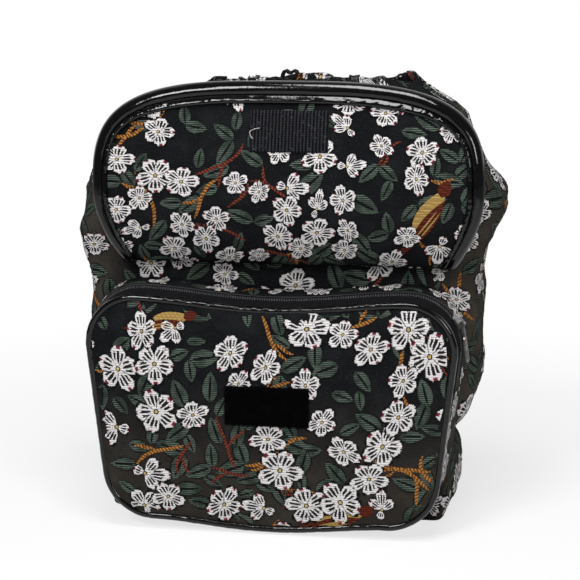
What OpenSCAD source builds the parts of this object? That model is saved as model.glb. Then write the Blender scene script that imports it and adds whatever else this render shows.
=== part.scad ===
// Soft woven backpack: a gathered sack, a bound front flap, a zipped front pocket and two shoulder straps.
// Millimetres. The sack stands on its base at z = 0, its front faces -Y and +X is to the right from there.

/* [Sack] */
// Depth of the sack, front panel to back panel
sack_depth = 108; // [96:1:120]
// Width of the flat front and back panels between their seams
panel_width = 236; // [226:1:242]
// Distance from the centre plane to the side of each gusset
side_reach = 156; // [150:1:164]
// Height of the sewn walls, where the gathered collar starts
wall_height = 312; // [306:1:320]
// Thickness of the woven fabric with its lining
fabric = 2.4; // [1.6:0.1:3]
// Thickness of the padded back panel
back_pad = 6; // [4:0.5:9]
// Thickness of the stiffened base
base_thick = 3; // [2:0.5:5]
// How far the right gusset swells out behind the flap
right_swell = 18; // [8:1:24]
// How far the left gusset swells out behind the flap
left_swell = 9; // [4:1:20]
// Depth of the slumped fold low on the right gusset
right_fold = 14; // [4:1:18]
// Depth of the slumped fold low on the left gusset
left_fold = 5; // [2:1:16]
// How far the right gusset draws in towards the collar
right_taper = 17; // [10:1:26]
// How far the left gusset draws in towards the collar
left_taper = 26; // [16:1:34]
// How far the right gusset draws in towards the base
right_slump = 15; // [4:1:18]
// How far the left gusset draws in towards the base
left_slump = 6; // [0:1:14]

/* [Collar] */
// Height of the gathered collar above the walls
collar_height = 33; // [26:1:38]
// Width of the mouth across the collar's rim
mouth_width = 168; // [150:1:196]
// How far the rim is pulled over to the right
mouth_shift = 16; // [0:1:20]
// Depth of the mouth across the collar's rim
mouth_depth = 66; // [50:1:84]
// Number of gathers round the rim
gathers = 18; // [12:1:20]
// Depth of each gather
gather_depth = 3.4; // [1:0.2:4.4]
// Rise and fall of the slumped rim
rim_wave = 2.6; // [0:0.2:4]
// How much the rim rises towards the right
rim_tilt = 6; // [0:0.5:8]

/* [Flap] */
// Height of the crease where the flap is sewn on, above the pocket face's top
flap_root_rise = 21; // [18:1:28]
// Height at which the flap is widest
flap_shoulder_z = 262; // [252:1:272]
// Height of the flap's top edge inside its binding
flap_top_z = 340.5; // [334:0.5:346]
// Width of the flap at the crease
flap_root_width = 250; // [240:1:258]
// Widest part of the flap inside its binding
flap_width = 290; // [280:1:298]
// Squareness of the flap's top corners
flap_power = 3.3; // [2.4:0.1:3.6]
// How far the flap's middle sits to the right of the sack's middle
flap_shift = 8; // [0:1:10]
// Thickness of the doubled flap
flap_thick = 5; // [3:0.5:7]
// How far the flap bellies forward
flap_bulge = 22; // [10:1:28]
// How far the binding laps over the flap's faces
binding_lip = 9.5; // [6:0.5:12]
// How far the binding stands past the flap's edge
binding_edge = 4.5; // [3:0.5:6]
// Thickness of the binding
binding_wall = 1.7; // [1.2:0.1:2.4]

/* [Pocket] */
// Height of the pocket's lower corners
pocket_bottom_z = 9; // [8:1:14]
// Height of the pocket's upper corners
pocket_top_z = 184; // [178:1:188]
// Width of the pocket face at its top
pocket_top_width = 282; // [270:1:288]
// Width of the pocket face at its bottom
pocket_bottom_width = 260; // [250:1:268]
// Radius of the upper corners
top_corner_r = 37; // [32:1:42]
// Radius of the lower corners
bottom_corner_r = 40; // [34:1:46]
// Depth of the pocket in front of the sack
pocket_depth = 46; // [40:1:54]
// How much wider the pocket is at the sack than at its face
pocket_flare = 6; // [4:1:10]
// Sag of the top edge between the corners
top_sag = 7; // [2:0.5:10]
// Bow of the bottom edge between the corners
bottom_bow = 6; // [2:0.5:7]
// How far the face crowns forward
pocket_crown = 7; // [3:0.5:12]
// Thickness of the lined pocket face
pocket_face = 4; // [2.5:0.5:6]
// Radius of the piping round the face
piping_r = 2.8; // [2:0.1:3.4]

/* [Fastening patches] */
// Width of the hook patch on the flap
hook_w = 60; // [40:1:80]
// Height of the hook patch on the flap
hook_h = 31; // [20:1:34]
// Place of the hook patch across the flap
hook_x = 4; // [-10:1:16]
// Height of the hook patch's centre
hook_z = 309; // [296:1:310]
// Width of the loop patch on the pocket
loop_w = 64; // [40:1:80]
// Height of the loop patch on the pocket
loop_h = 30; // [20:1:40]
// Height of the loop patch's centre
loop_z = 104; // [90:1:120]
// Thickness of both patches
patch_thick = 1.5; // [1:0.1:2.2]

/* [Zip] */
// Height at which the zip ends on both sides of the pocket
zip_end_z = 114; // [106:1:122]
// Thickness of the zip tape
tape_thick = 1.6; // [1.2:0.1:2]
// Width of the rear tape, between the coil and the sack
rear_tape = 19.7; // [14:0.1:24]
// Width of each row of the coil
coil_row = 2; // [1.6:0.1:2.2]
// Thickness of the coil
coil_thick = 2.8; // [2.2:0.1:3]
// Place of the slider round the corner, up from level
slider_angle = 30; // [26:1:36]
// Length of the slider
slider_length = 12; // [10:0.5:13]
// Width of the slider
slider_width = 8.6; // [8:0.2:10]
// Length of the pull from its pin to its tip
pull_length = 30; // [22:1:32]
// Width of the pull's grip
pull_width = 7; // [5:0.5:8]
// Thickness of the pull
pull_thick = 1.6; // [1.2:0.1:1.8]
// Radius of the pull's pin
pin_r = 0.8; // [0.6:0.05:0.9]

/* [Straps] */
// Width of the padded strap at its top
strap_top_w = 50; // [40:1:56]
// Width of the padded strap at its lower end
strap_low_w = 34; // [30:1:40]
// Thickness of the padded strap
strap_thick = 8; // [6:0.5:9]
// How far the padded straps bow away from the back
strap_bow = 24; // [16:1:34]
// Distance of each strap's top end from the centre plane
strap_top_x = 44; // [36:1:52]
// Height of each strap's top end
strap_top_z = 302; // [294:1:304]
// Distance of each lower anchor from the back panel's side seam
anchor_inset = 16; // [14:1:24]
// Height of each lower anchor ring
anchor_z = 26; // [24:1:34]
// Lean of the webbing towards the centre plane, in degrees
splay = 12; // [8:1:14]
// Length of the webbing from its ring to the padded strap
web_length = 126; // [118:1:136]
// Width of the webbing
web_w = 25; // [20:1:26]
// Thickness of the webbing
web_thick = 1.6; // [1.2:0.1:2]
// Place of the adjuster along the webbing
adjuster_at = 52; // [46:1:60]
// Height of the adjuster
adjuster_h = 24; // [20:1:26]
// Thickness of each adjuster bar
bar_thick = 2; // [1.6:0.1:2.4]
// Radius of the anchor ring's wire
ring_wire = 1.5; // [1.2:0.1:1.8]
// Height of the hang loop's crest
loop_crest_z = 350; // [345:1:354]
// Width of the hang loop's tape
loop_tape = 13; // [9:1:16]
// Half the gap between the hang loop's legs
loop_half = 7; // [6:0.5:9]
// Place of the hang loop across the back
loop_x = -9; // [-14:1:14]
// Width of the yoke that backs the strap tops
yoke_w = 168; // [160:1:190]
// Height of the yoke
yoke_h = 44; // [38:1:50]
// Thickness of the yoke
yoke_thick = 2; // [1.4:0.1:3]

/* [Hidden] */
$fn = 48;

// Gap left between two sewn pieces, and the running clearance of the pin
seam_gap = 0.3;
pin_clearance = 0.05;

// Planes that the pieces share
front_y = -sack_depth / 2;
back_y = sack_depth / 2;
gusset_front_y = front_y - pocket_depth + piping_r;
gusset_rear_y = front_y - seam_gap;
piping_y = gusset_front_y - seam_gap - piping_r;
coil_gap = 1;
zip_rear_y = gusset_rear_y - rear_tape;
coil_rear_y = zip_rear_y - seam_gap;
coil_front_y = coil_rear_y - 2 * coil_row - coil_gap;
zip_y = (coil_front_y + coil_rear_y) / 2;
flap_root_z = pocket_top_z + flap_root_rise;
wall_z = base_thick + seam_gap;

// Colours of the cloth and trim
ground = "#1c1b1d";
trim_black = "#0d0d0f";
tape_black = "#17181b";
metal_dark = "#3a3b3e";

// Shared curves
function ramp(low, high, x) = let (t = min(1, max(0, (x - low) / (high - low)))) t * t * (3 - 2 * t);
function bell(x, centre, width) = exp(-pow((x - centre) / width, 2));
function mixed(a, b, t) = a + (b - a) * t;
function signed_pow(x, p) = sign(x) * pow(abs(x), p);
function steps(low, high, count) = [for (i = [0:count]) low + (high - low) * i / count];
function mirrored(points) = [for (i = [len(points) - 1:-1:0]) [-points[i].x, points[i].y]];
function tail(list) = [for (i = [1:len(list) - 1]) list[i]];
function body_of(list) = [for (i = [1:len(list) - 2]) list[i]];

// A closed solid between two grids of points. Columns crossed with rows point from side a to side b.
module thick_skin(a, b, loop = false) {
    rows = len(a);
    cols = len(a[0]);
    size = rows * cols;
    last = loop ? rows - 1 : rows - 2;
    points = [for (row = concat(a, b)) each row];
    function at(i, j) = (i % rows) * cols + j;
    function far(i, j) = size + at(i, j);
    faces = concat(
        [for (i = [0:last], j = [0:cols - 2]) each [
            [at(i, j), at(i, j + 1), at(i + 1, j + 1)], [at(i, j), at(i + 1, j + 1), at(i + 1, j)],
            [far(i, j), far(i + 1, j + 1), far(i, j + 1)], [far(i, j), far(i + 1, j), far(i + 1, j + 1)]]],
        [for (i = [0:last], n = [cols - 1]) each [
            [at(i, 0), at(i + 1, 0), far(i + 1, 0)], [at(i, 0), far(i + 1, 0), far(i, 0)],
            [at(i + 1, n), at(i, n), far(i, n)], [at(i + 1, n), far(i, n), far(i + 1, n)]]],
        loop ? [] : [for (j = [0:cols - 2], m = [rows - 1]) each [
            [at(0, j + 1), at(0, j), far(0, j)], [at(0, j + 1), far(0, j), far(0, j + 1)],
            [at(m, j), at(m, j + 1), far(m, j + 1)], [at(m, j), far(m, j + 1), far(m, j)]]]);
    polyhedron(points, faces, convexity = 6);
}

// Sack: the side of each gusset as a slumped outline over its height
fold_z = 66;
swell_z = [222, 250];
swell_width = [28, 23];
fold_width = 13;
slump_z = [[36, 66], [40, 125]];
taper_z = [[52, -12], [47, -18]];
gusset_levels = 24;
gusset_steps = 12;
function side_at(side, z) =
    let (k = side > 0 ? 1 : 0)
    side_reach
    + (k ? right_swell : left_swell) * bell(z, swell_z[k], swell_width[k])
    - (k ? right_fold : left_fold) * bell(z, fold_z, fold_width)
    - (k ? right_taper : left_taper) * ramp(wall_height - taper_z[k][0], wall_height - taper_z[k][1], z)
    - (k ? right_slump : left_slump) * (1 - ramp(slump_z[k][0], slump_z[k][1], z))
    - 9 * bell(z, 0, 14);

// One point of a gusset's section, from the front seam at -90 degrees round to the back seam at 90
function gusset_point(side, z, turn, inset) =
    let (seam = panel_width / 2 + seam_gap, reach = side_at(side, z) - inset)
    [side * (seam + (reach - seam) * signed_pow(cos(turn), 0.4)),
     (sack_depth / 2 - inset) * signed_pow(sin(turn), 0.6), z];

function gusset_rows(side, inset) =
    [for (z = steps(wall_z, wall_height, gusset_levels))
        [for (turn = steps(-90, 90, gusset_steps)) gusset_point(side, z, turn, inset)]];

module gusset(side) {
    inner = gusset_rows(side, fabric);
    outer = gusset_rows(side, 0);
    color(ground) thick_skin(side > 0 ? inner : outer, side > 0 ? outer : inner);
}

module wall_panel(y, thick) {
    translate([-panel_width / 2, y, wall_z])
        cube([panel_width, thick, wall_height - wall_z]);
}

module front_panel() { color(ground) wall_panel(front_y, fabric); }

module back_panel() { color(ground) wall_panel(back_y - back_pad, back_pad); }

module base_panel() {
    half = [for (turn = steps(-90, 90, gusset_steps)) gusset_point(1, wall_z, turn, 0)];
    other = [for (turn = steps(90, -90, gusset_steps)) gusset_point(-1, wall_z, turn, 0)];
    color(tape_black) linear_extrude(base_thick) polygon([for (p = concat(half, other)) [p.x, p.y]]);
}

// Collar: the sack's own section, from the front right seam round, drawn in to a gathered rim
collar_rise = [0, 0.25, 0.5, 0.75, 1];
gusset_share = 0.2;
function wall_section(u, inset) =
    let (seam = panel_width / 2, depth = sack_depth / 2 - inset, half = u < 0.5 ? u : u - 0.5,
         side = u < 0.5 ? 1 : -1, flat = (half - gusset_share) / (0.5 - gusset_share),
         p = half < gusset_share
             ? gusset_point(side, wall_height, side * (180 * half / gusset_share - 90), inset)
             : [side * seam * (1 - 2 * flat), side * depth, 0])
    [p.x, p.y];

function collar_point(u, rise, inset) =
    let (wall = wall_section(u, inset), turn = atan2(wall.y / sack_depth, wall.x / (2 * side_reach)),
         rim = [mouth_shift + (mouth_width / 2 - inset) * signed_pow(cos(turn), 0.8),
                (mouth_depth / 2 - inset) * signed_pow(sin(turn), 0.8)],
         drawn = wall + (rim - wall) * ramp(0, 1.1, rise),
         gather = gather_depth * ramp(0.1, 1, rise) * cos(360 * gathers * u),
         slump = rim_tilt * cos(turn) + rim_wave * rise * (sin(3 * turn + 40) + 0.6 * sin(5 * turn)),
         p = drawn * (1 + gather / norm(drawn)))
    [p.x, p.y, wall_height + seam_gap + (collar_height + slump) * rise];

module gathered_collar() {
    turns = steps(0, 1 - 1 / (4 * gathers), 4 * gathers - 1);
    outer = [for (u = turns) [for (rise = collar_rise) collar_point(u, rise, 0)]];
    inner = [for (u = turns) [for (rise = collar_rise) collar_point(u, rise, fabric)]];
    color(ground) thick_skin(outer, inner, loop = true);
}

// Flap: a bellied sheet, so every flap piece is drawn flat and then moved forward by flap_y
shoulder_share = 0.3;
flap_root_y = front_y - seam_gap - binding_wall - seam_gap - flap_thick / 2;
function flap_y(x, z) =
    let (rise = min(1, max(0, (z - flap_root_z) / (flap_top_z - flap_root_z))), across = 2 * x / flap_width)
    flap_root_y
    - flap_bulge * (sin(180 * pow(rise, 0.7)) + 0.25 * rise) * (1 - 0.5 * min(1, across * across));

// A point of the flap's right edge: t runs from the crease up to the middle of the top, out is past the edge
function flap_edge(t, out) =
    let (turn = 90 * (t - shoulder_share) / (1 - shoulder_share), power = 2 / flap_power,
         rise = flap_top_z - flap_shoulder_z)
    t < shoulder_share
        ? [mixed(flap_root_width, flap_width, sin(90 * t / shoulder_share)) / 2 + out,
           mixed(flap_root_z, flap_shoulder_z, t / shoulder_share)]
        : [(flap_width / 2 + out) * pow(max(0, cos(turn)), power),
           flap_shoulder_z + (rise + out) * pow(max(0, sin(turn)), power)];

function flap_place(p, w) = [p.x + flap_shift, flap_y(p.x, p.y) + w, p.y];

flap_levels = [0, 0.015, 0.035, 0.06, 0.09, 0.12, 0.16, 0.2, 0.25, 0.3, 0.33, 0.36, 0.4, 0.45, 0.5,
               0.6, 0.7, 0.78, 0.85, 0.91, 0.955];
flap_cols = 14;
function flap_rows(w) =
    [for (t = flap_levels) let (edge = flap_edge(t, 0))
        [for (x = steps(-edge.x, edge.x, flap_cols)) flap_place([x, edge.y], w)]];

module flap() {
    color(ground) thick_skin(flap_rows(flap_thick / 2), flap_rows(-flap_thick / 2));
}

// The binding's section: each pair is the distance past the flap's edge and the distance behind its middle
binding_levels = concat(flap_levels, [0.98, 1]);
function binding_section(inside) =
    let (slot = flap_thick / 2 + seam_gap, full = slot + binding_wall)
    inside
        ? [[-binding_lip, -slot], [seam_gap, -slot], [seam_gap, 0], [seam_gap, slot], [-binding_lip, slot]]
        : [[-binding_lip, -full], [0, -full - 0.6], [binding_edge, 0], [0, full], [-binding_lip, full]];

function binding_rows(inside) =
    let (section = binding_section(inside),
         rights = [for (t = binding_levels) [for (s = section) [flap_edge(t, s[0]), s[1]]]])
    concat(
        [for (row = rights) [for (s = row) flap_place(s[0], s[1])]],
        [for (i = [len(rights) - 2:-1:0]) [for (s = rights[i]) flap_place([-s[0].x, s[0].y], s[1])]]);

module flap_binding() {
    color(trim_black) thick_skin(binding_rows(true), binding_rows(false));
}

module hook_patch() {
    seat = -flap_thick / 2 - seam_gap;
    rows = steps(hook_z - hook_h / 2, hook_z + hook_h / 2, 4);
    cols = steps(hook_x - hook_w / 2, hook_x + hook_w / 2, 6);
    function layer(w) = [for (z = rows) [for (x = cols) flap_place([x, z], w)]];
    color(trim_black) thick_skin(layer(seat), layer(seat - patch_thick));
}

// Pocket: its outline is two pairs of corner arcs, tangent sides, a sagging top and a bowed bottom
top_centre = [pocket_top_width / 2 - top_corner_r, pocket_top_z - top_corner_r];
low_centre = [pocket_bottom_width / 2 - bottom_corner_r, pocket_bottom_z + bottom_corner_r];
centre_line = low_centre - top_centre;
side_normal =
    asin((bottom_corner_r - top_corner_r) / norm(centre_line)) - atan2(-centre_line.x, -centre_line.y);
arc_steps = 9;
edge_steps = 10;
function arc_points(centre, r, from, to) =
    [for (turn = steps(from, to, arc_steps)) centre + r * [cos(turn), sin(turn)]];
function top_edge(out) =
    [for (x = steps(top_centre.x, -top_centre.x, edge_steps))
        [x, pocket_top_z + out - top_sag * pow(1 - pow(x / top_centre.x, 2), 2)]];
function low_edge(out) =
    [for (x = steps(-low_centre.x, low_centre.x, edge_steps))
        [x, pocket_bottom_z - out - bottom_bow * pow(1 - pow(x / low_centre.x, 2), 2)]];
function top_arc(out) = arc_points(top_centre, top_corner_r + out, side_normal, 90);

// The bottom stays level as the pocket flares, so the flare lifts the lower corners' centres
function low_arc(out, flare = 0) =
    arc_points(low_centre + [0, flare], bottom_corner_r + out + flare, -90, side_normal);
function zip_end(out, flare = 0) =
    let (high = top_arc(out + flare)[0], low = low_arc(out, flare)[arc_steps])
    low + (high - low) * (zip_end_z - low.y) / (high.y - low.y);

// The outline in two runs, both counter-clockwise from the front: over the top, and round the bottom
function upper_run(out, flare = 0) =
    let (corner = concat([zip_end(out, flare)], top_arc(out + flare)))
    concat(corner, body_of(top_edge(out + flare)), mirrored(corner));
function lower_run(out, flare = 0) =
    let (corner = concat(low_arc(out, flare), [zip_end(out, flare)]))
    concat(mirrored(corner), body_of(low_edge(out)), corner);

function flare_at(y) = pocket_flare * (y - gusset_front_y) / (gusset_rear_y - gusset_front_y);
function strip_rows(upper, y0, y1, out) =
    let (near = upper ? upper_run(out, flare_at(y0)) : lower_run(out, flare_at(y0)),
         far = upper ? upper_run(out, flare_at(y1)) : lower_run(out, flare_at(y1)))
    [for (i = [0:len(near) - 1]) [[near[i].x, y0, near[i].y], [far[i].x, y1, far[i].y]]];

// A strip of the pocket's side wall between two depths
module side_strip(upper, y0, y1, thick, out = 0) {
    thick_skin(strip_rows(upper, y0, y1, out - thick), strip_rows(upper, y0, y1, out));
}

module pocket_gusset() {
    cut = seam_gap;
    rows_in = strip_rows(false, gusset_front_y, gusset_rear_y, -fabric);
    rows_out = strip_rows(false, gusset_front_y, gusset_rear_y, 0);
    color(ground) difference() {
        thick_skin(rows_in, rows_out);
        translate([-pocket_top_width, gusset_front_y - pocket_depth, zip_end_z - cut])
            cube([2 * pocket_top_width, 2 * pocket_depth, pocket_top_z]);
    }
}

module zip_tape_front() {
    color(tape_black) side_strip(true, gusset_front_y, coil_front_y - seam_gap, tape_thick);
}
module zip_tape_rear() { color(tape_black) side_strip(true, zip_rear_y, gusset_rear_y, tape_thick); }
coil_out = (coil_thick - tape_thick) / 2;
module zip_coil_front() {
    color(tape_black) side_strip(true, coil_front_y, coil_front_y + coil_row, coil_thick, coil_out);
}
module zip_coil_rear() {
    color(tape_black) side_strip(true, coil_rear_y - coil_row, coil_rear_y, coil_thick, coil_out);
}

// Metal stops crimped over the coil at both of its ends, square to the pocket's slanting sides
module zip_stops() {
    stop_h = 3;
    end = zip_end(coil_out, flare_at(zip_y));
    for (side = [0, 1])
        color(metal_dark)
            mirror([side, 0, 0])
                translate([end.x, zip_y, end.y])
                    rotate([0, -side_normal, 0]) rotate([0, 0, -flare_angle])
                        translate([seam_gap, -coil_row, 0])
                            cube([tape_thick, 2 * coil_row, stop_h]);
}

// Pocket face: columns of points from the bottom edge up to the top edge, crowned forward
face_seat_y = piping_y - seam_gap;
face_cols = 6;
function face_y(x, z) =
    let (middle = (pocket_top_z + pocket_bottom_z) / 2, half = (pocket_top_z - pocket_bottom_z) / 2,
         across = 2 * x / pocket_top_width, up = (z - middle) / half)
    face_seat_y - pocket_crown * max(0, 1 - across * across) * max(0, 1 - up * up);
function face_rows(w, out) =
    let (half = concat(top_arc(out), body_of(top_edge(out))),
         high = [for (p = concat(half, mirrored(top_arc(out)))) [-p.x, p.y]],
         low = concat(mirrored(low_arc(out)), body_of(low_edge(out)), low_arc(out)))
    [for (i = [0:len(high) - 1]) [for (t = steps(0, 1, face_cols))
        let (p = low[i] + (high[i] - low[i]) * t) [p.x, face_y(p.x, p.y) + w, p.y]]];

piping_out = piping_r / 2 - 2.6;
face_out = piping_out - piping_r - seam_gap;
module pocket_face_panel() {
    color(ground) thick_skin(face_rows(-pocket_face / 2, face_out), face_rows(pocket_face / 2, face_out));
}

function piping_rows(sign) =
    let (turns = [-67.5, -22.5, 22.5, 67.5],
         runs = [for (turn = turns) let (out = piping_out + sign * piping_r * cos(turn))
             concat(upper_run(out), body_of(lower_run(out)))])
    [for (i = [0:len(runs[0]) - 1])
        [for (k = [0:3]) [runs[k][i].x, piping_y + piping_r * sin(turns[k]), runs[k][i].y]]];

module pocket_piping() {
    color(trim_black) thick_skin(piping_rows(-1), piping_rows(1), loop = true);
}

module loop_patch() {
    seat = -pocket_face / 2 - seam_gap;
    rows = steps(loop_z - loop_h / 2, loop_z + loop_h / 2, 4);
    cols = steps(-loop_w / 2, loop_w / 2, 6);
    function layer(w) = [for (z = rows) [for (x = cols) [x, face_y(x, z) + w, z]]];
    color(trim_black) thick_skin(layer(seat), layer(seat - patch_thick));
}

// Zip slider: drawn with +X out of the tape, +Y across it and +Z up along the zip
flare_angle = atan(pocket_flare / (gusset_rear_y - gusset_front_y));
zip_radius = top_corner_r + flare_at(zip_y) - tape_thick / 2;
plate_thick = 1.2;
outer_plate_x = coil_thick / 2 + 0.8;
inner_plate_x = -coil_thick / 2 - 0.9 - plate_thick;
pin_x = outer_plate_x + plate_thick + 2.3;
pin_z = 2 - slider_length / 2;
eye_r = pin_r + 1.1;
eye_half = 1.6;
lug_thick = 1;
pull_reach = zip_radius + tape_thick / 2 + pull_thick / 2 + 2 * seam_gap;
pull_tilt = acos(pull_reach / (zip_radius + pin_x)) - 1;

module at_slider() {
    translate([top_centre.x, zip_y, top_centre.y])
        rotate([0, -slider_angle, 0])
            translate([zip_radius, 0, 0])
                rotate([0, 0, -flare_angle])
                    children();
}

module slider_plate(x) {
    narrow = slider_width * 0.8;
    straight = slider_length - slider_width / 2;
    translate([x, 0, 0]) rotate([0, 90, 0]) linear_extrude(plate_thick) {
        translate([-slider_length / 2 + slider_width / 2, 0]) circle(d = slider_width);
        polygon([[slider_width / 2 - slider_length / 2, -slider_width / 2],
                 [slider_width / 2 - slider_length / 2, slider_width / 2],
                 [slider_length / 2, narrow / 2], [slider_length / 2, -narrow / 2]]);
    }
}

module slider_lug() {
    translate([-pin_x + outer_plate_x + plate_thick / 2, 0, -eye_r])
        cube([pin_x - outer_plate_x - plate_thick / 2, lug_thick, 2 * eye_r]);
    rotate([-90, 0, 0]) cylinder(r = eye_r, h = lug_thick);
}

module zip_slider() {
    web = coil_gap - 2 * 0.25;
    web_h = slider_length / 3;
    flange = 0.7;
    lug_y = eye_half + pin_clearance;
    color(metal_dark) at_slider() {
        slider_plate(outer_plate_x);
        slider_plate(inner_plate_x);
        rotate([0, 0, flare_angle]) translate([inner_plate_x, -web / 2, slider_length / 2 - web_h - 1])
            cube([outer_plate_x - inner_plate_x + plate_thick, web, web_h]);
        for (side = [-1, 1])
            translate([outer_plate_x - flange, side * (slider_width * 0.4 - flange / 2) - flange / 2,
                       1 - slider_length / 2])
                cube([flange + plate_thick / 2, flange, slider_length - slider_width / 2 - 1]);
        translate([pin_x, lug_y, pin_z]) slider_lug();
        translate([pin_x, -lug_y - lug_thick, pin_z]) slider_lug();
        translate([pin_x, -lug_y - lug_thick / 2, pin_z])
            rotate([-90, 0, 0]) cylinder(r = pin_r, h = 2 * lug_y + lug_thick);
    }
}

// Pull: an eye on the pin, a neck and a rounded grip with a finger slot, hanging down over the tape
module zip_pull() {
    neck_w = 2 * eye_half;
    neck_l = pull_length * 0.3;
    grip_r = pull_width / 2;
    slot_r = pull_width * 0.18;
    color(metal_dark) at_slider()
        translate([pin_x, 0, pin_z]) rotate([0, pull_tilt, 0])
            difference() {
                union() {
                    rotate([90, 0, 0]) translate([0, 0, -eye_half]) cylinder(r = eye_r, h = 2 * eye_half);
                    translate([-pull_thick / 2, -neck_w / 2, -neck_l - grip_r])
                        cube([pull_thick, neck_w, neck_l + grip_r]);
                    translate([-pull_thick / 2, 0, 0]) rotate([0, 90, 0]) linear_extrude(pull_thick) {
                        translate([neck_l + grip_r, 0]) circle(r = grip_r);
                        translate([neck_l + grip_r, -grip_r])
                            square([pull_length - neck_l - 2 * grip_r, pull_width]);
                        translate([pull_length - grip_r, 0]) circle(r = grip_r);
                    }
                }
                rotate([90, 0, 0]) cylinder(r = pin_r + pin_clearance, h = pull_width, center = true);
                translate([-pull_thick, 0, 0]) rotate([0, 90, 0]) linear_extrude(2 * pull_thick) {
                    translate([pull_length - grip_r - 5, 0]) circle(r = slot_r);
                    translate([pull_length - grip_r - 5, -slot_r]) square([5, 2 * slot_r]);
                    translate([pull_length - grip_r, 0]) circle(r = slot_r);
                }
            }
}

// Back: yoke, hang loop, padded straps, webbing with its adjuster, ring and anchor tab
yoke_face = back_y + seam_gap + yoke_thick;
web_y = yoke_face + seam_gap + strap_thick / 2;
anchor_x = panel_width / 2 - anchor_inset;
module strap_yoke() {
    color(trim_black)
        translate([-yoke_w / 2, back_y + seam_gap, wall_height - yoke_h - 4])
            cube([yoke_w, yoke_thick, yoke_h]);
}

loop_tape_thick = 2.4;
loop_steps = 18;
loop_leg_z = wall_height - yoke_h / 2 - 4;
loop_arch = 16;
function loop_rows(out) =
    let (half = loop_half + out, rise = loop_arch + out,
         arch_z = loop_crest_z - loop_arch - loop_tape_thick / 2,
         line = concat(
             [[-half, loop_leg_z]],
             [for (u = steps(0, 180, loop_steps))
                 [-half * cos(u), arch_z + rise * pow(sin(u), 0.55) - 4.5 * bell(u, 90, 26)]],
             [[half, loop_leg_z]]))
    [for (p = line) [for (y = [0, loop_tape]) [loop_x + p.x, yoke_face + seam_gap + y, p.y]]];

module hang_loop() {
    color(trim_black) thick_skin(loop_rows(loop_tape_thick / 2), loop_rows(-loop_tape_thick / 2));
}

strap_rows_count = 18;
strap_end = [anchor_x - web_length * sin(splay), anchor_z + web_length * cos(splay)];
function strap_rows(side, face) =
    [for (t = steps(0, 1, strap_rows_count))
        let (centre = [side * mixed(strap_end.x, strap_top_x, ramp(0, 1.15, t)),
                       web_y + strap_bow * sin(180 * t), mixed(strap_end.y + seam_gap, strap_top_z, t)],
             half = mixed(strap_low_w, strap_top_w, ramp(0, 0.8, t)) / 2,
             thick = mixed(0.5, 1, ramp(0, 0.12, t)) * strap_thick / 2,
             lean = splay * (1 - t), across = [cos(lean), 0, side * sin(lean)])
        [for (k = [[-1, 0.35], [-0.8, 0.9], [0, 1], [0.8, 0.9], [1, 0.35]])
            centre + half * k[0] * across + [0, face * thick * k[1], 0]]];

module shoulder_strap(side) {
    color(ground) thick_skin(strap_rows(side, 1), strap_rows(side, -1));
}

// The webbing's own frame: +Z up along the webbing from its ring, +Y away from the back
module at_webbing(side) {
    translate([side * anchor_x, web_y, anchor_z]) rotate([0, -side * splay, 0]) children();
}

ring_gap = ring_wire + seam_gap;
module strap_webbing(side) {
    color(tape_black) at_webbing(side)
        translate([-web_w / 2, -web_thick / 2, ring_gap])
            cube([web_w, web_thick, web_length - ring_gap]);
}

return_y = web_thick / 2 + seam_gap;
bar_h = 4;
module strap_return(side) {
    color(tape_black) at_webbing(side)
        translate([-web_w / 2, return_y, ring_gap])
            cube([web_w, web_thick, adjuster_at - bar_h / 2 - seam_gap - ring_gap]);
}

// Adjuster: two side rails, a middle bar in front of the webbing and two end bars behind it
rail_w = 3;
module strap_adjuster(side) {
    inner_w = web_w + 1.2;
    rail_depth = 2 * (web_thick / 2 + 0.5 + bar_thick);
    color(tape_black) at_webbing(side) translate([0, 0, adjuster_at]) {
        for (edge = [-1, 1])
            translate([edge * (inner_w / 2 + rail_w / 2), rail_depth / 2, 0])
                rotate([90, 0, 0]) linear_extrude(rail_depth) {
                    square([rail_w, adjuster_h - rail_w], center = true);
                    for (end = [-1, 1]) translate([0, end * (adjuster_h - rail_w) / 2]) circle(d = rail_w);
                }
        translate([-inner_w / 2 - rail_w / 2, web_thick / 2 + 0.5, -bar_h / 2])
            cube([inner_w + rail_w, bar_thick, bar_h]);
        for (end = [-1, 1])
            translate([-inner_w / 2 - rail_w / 2, -web_thick / 2 - 0.5 - bar_thick,
                       end * (adjuster_h - bar_h) / 2 - bar_h / 2])
                cube([inner_w + rail_w, bar_thick, bar_h]);
    }
}

// Ring: a rectangle of round wire. The webbing hangs on its top bar and the tab holds its bottom bar.
ring_h = 9;
ring_w = web_w + 3;
module anchor_ring(side) {
    color(metal_dark) at_webbing(side) {
        for (level = [0, -ring_h])
            translate([-ring_w / 2, 0, level]) rotate([0, 90, 0]) cylinder(r = ring_wire, h = ring_w);
        for (edge = [-1, 1]) translate([edge * ring_w / 2, 0, -ring_h]) {
            cylinder(r = ring_wire, h = ring_h);
            for (level = [0, ring_h]) translate([0, 0, level]) sphere(r = ring_wire);
        }
    }
}

// Tab: a sewn loop round the ring's bottom bar and a flat tail against the back panel
tab_wall = 1.6;
tab_bore = ring_wire + seam_gap;
module anchor_tab(side) {
    tail_y = back_y + seam_gap - web_y;
    color(trim_black) at_webbing(side) translate([0, 0, -ring_h]) difference() {
        union() {
            translate([-web_w / 2, 0, 0]) rotate([0, 90, 0]) cylinder(r = tab_bore + tab_wall, h = web_w);
            translate([-web_w / 2, tail_y, -tab_bore - tab_wall]) cube([web_w, -tail_y, tab_wall]);
            translate([-web_w / 2, tail_y, -tab_bore - tab_wall]) cube([web_w, tab_wall, 2 * tab_bore + 18]);
        }
        translate([-web_w, 0, 0]) rotate([0, 90, 0]) cylinder(r = tab_bore, h = 2 * web_w);
    }
}

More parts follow.
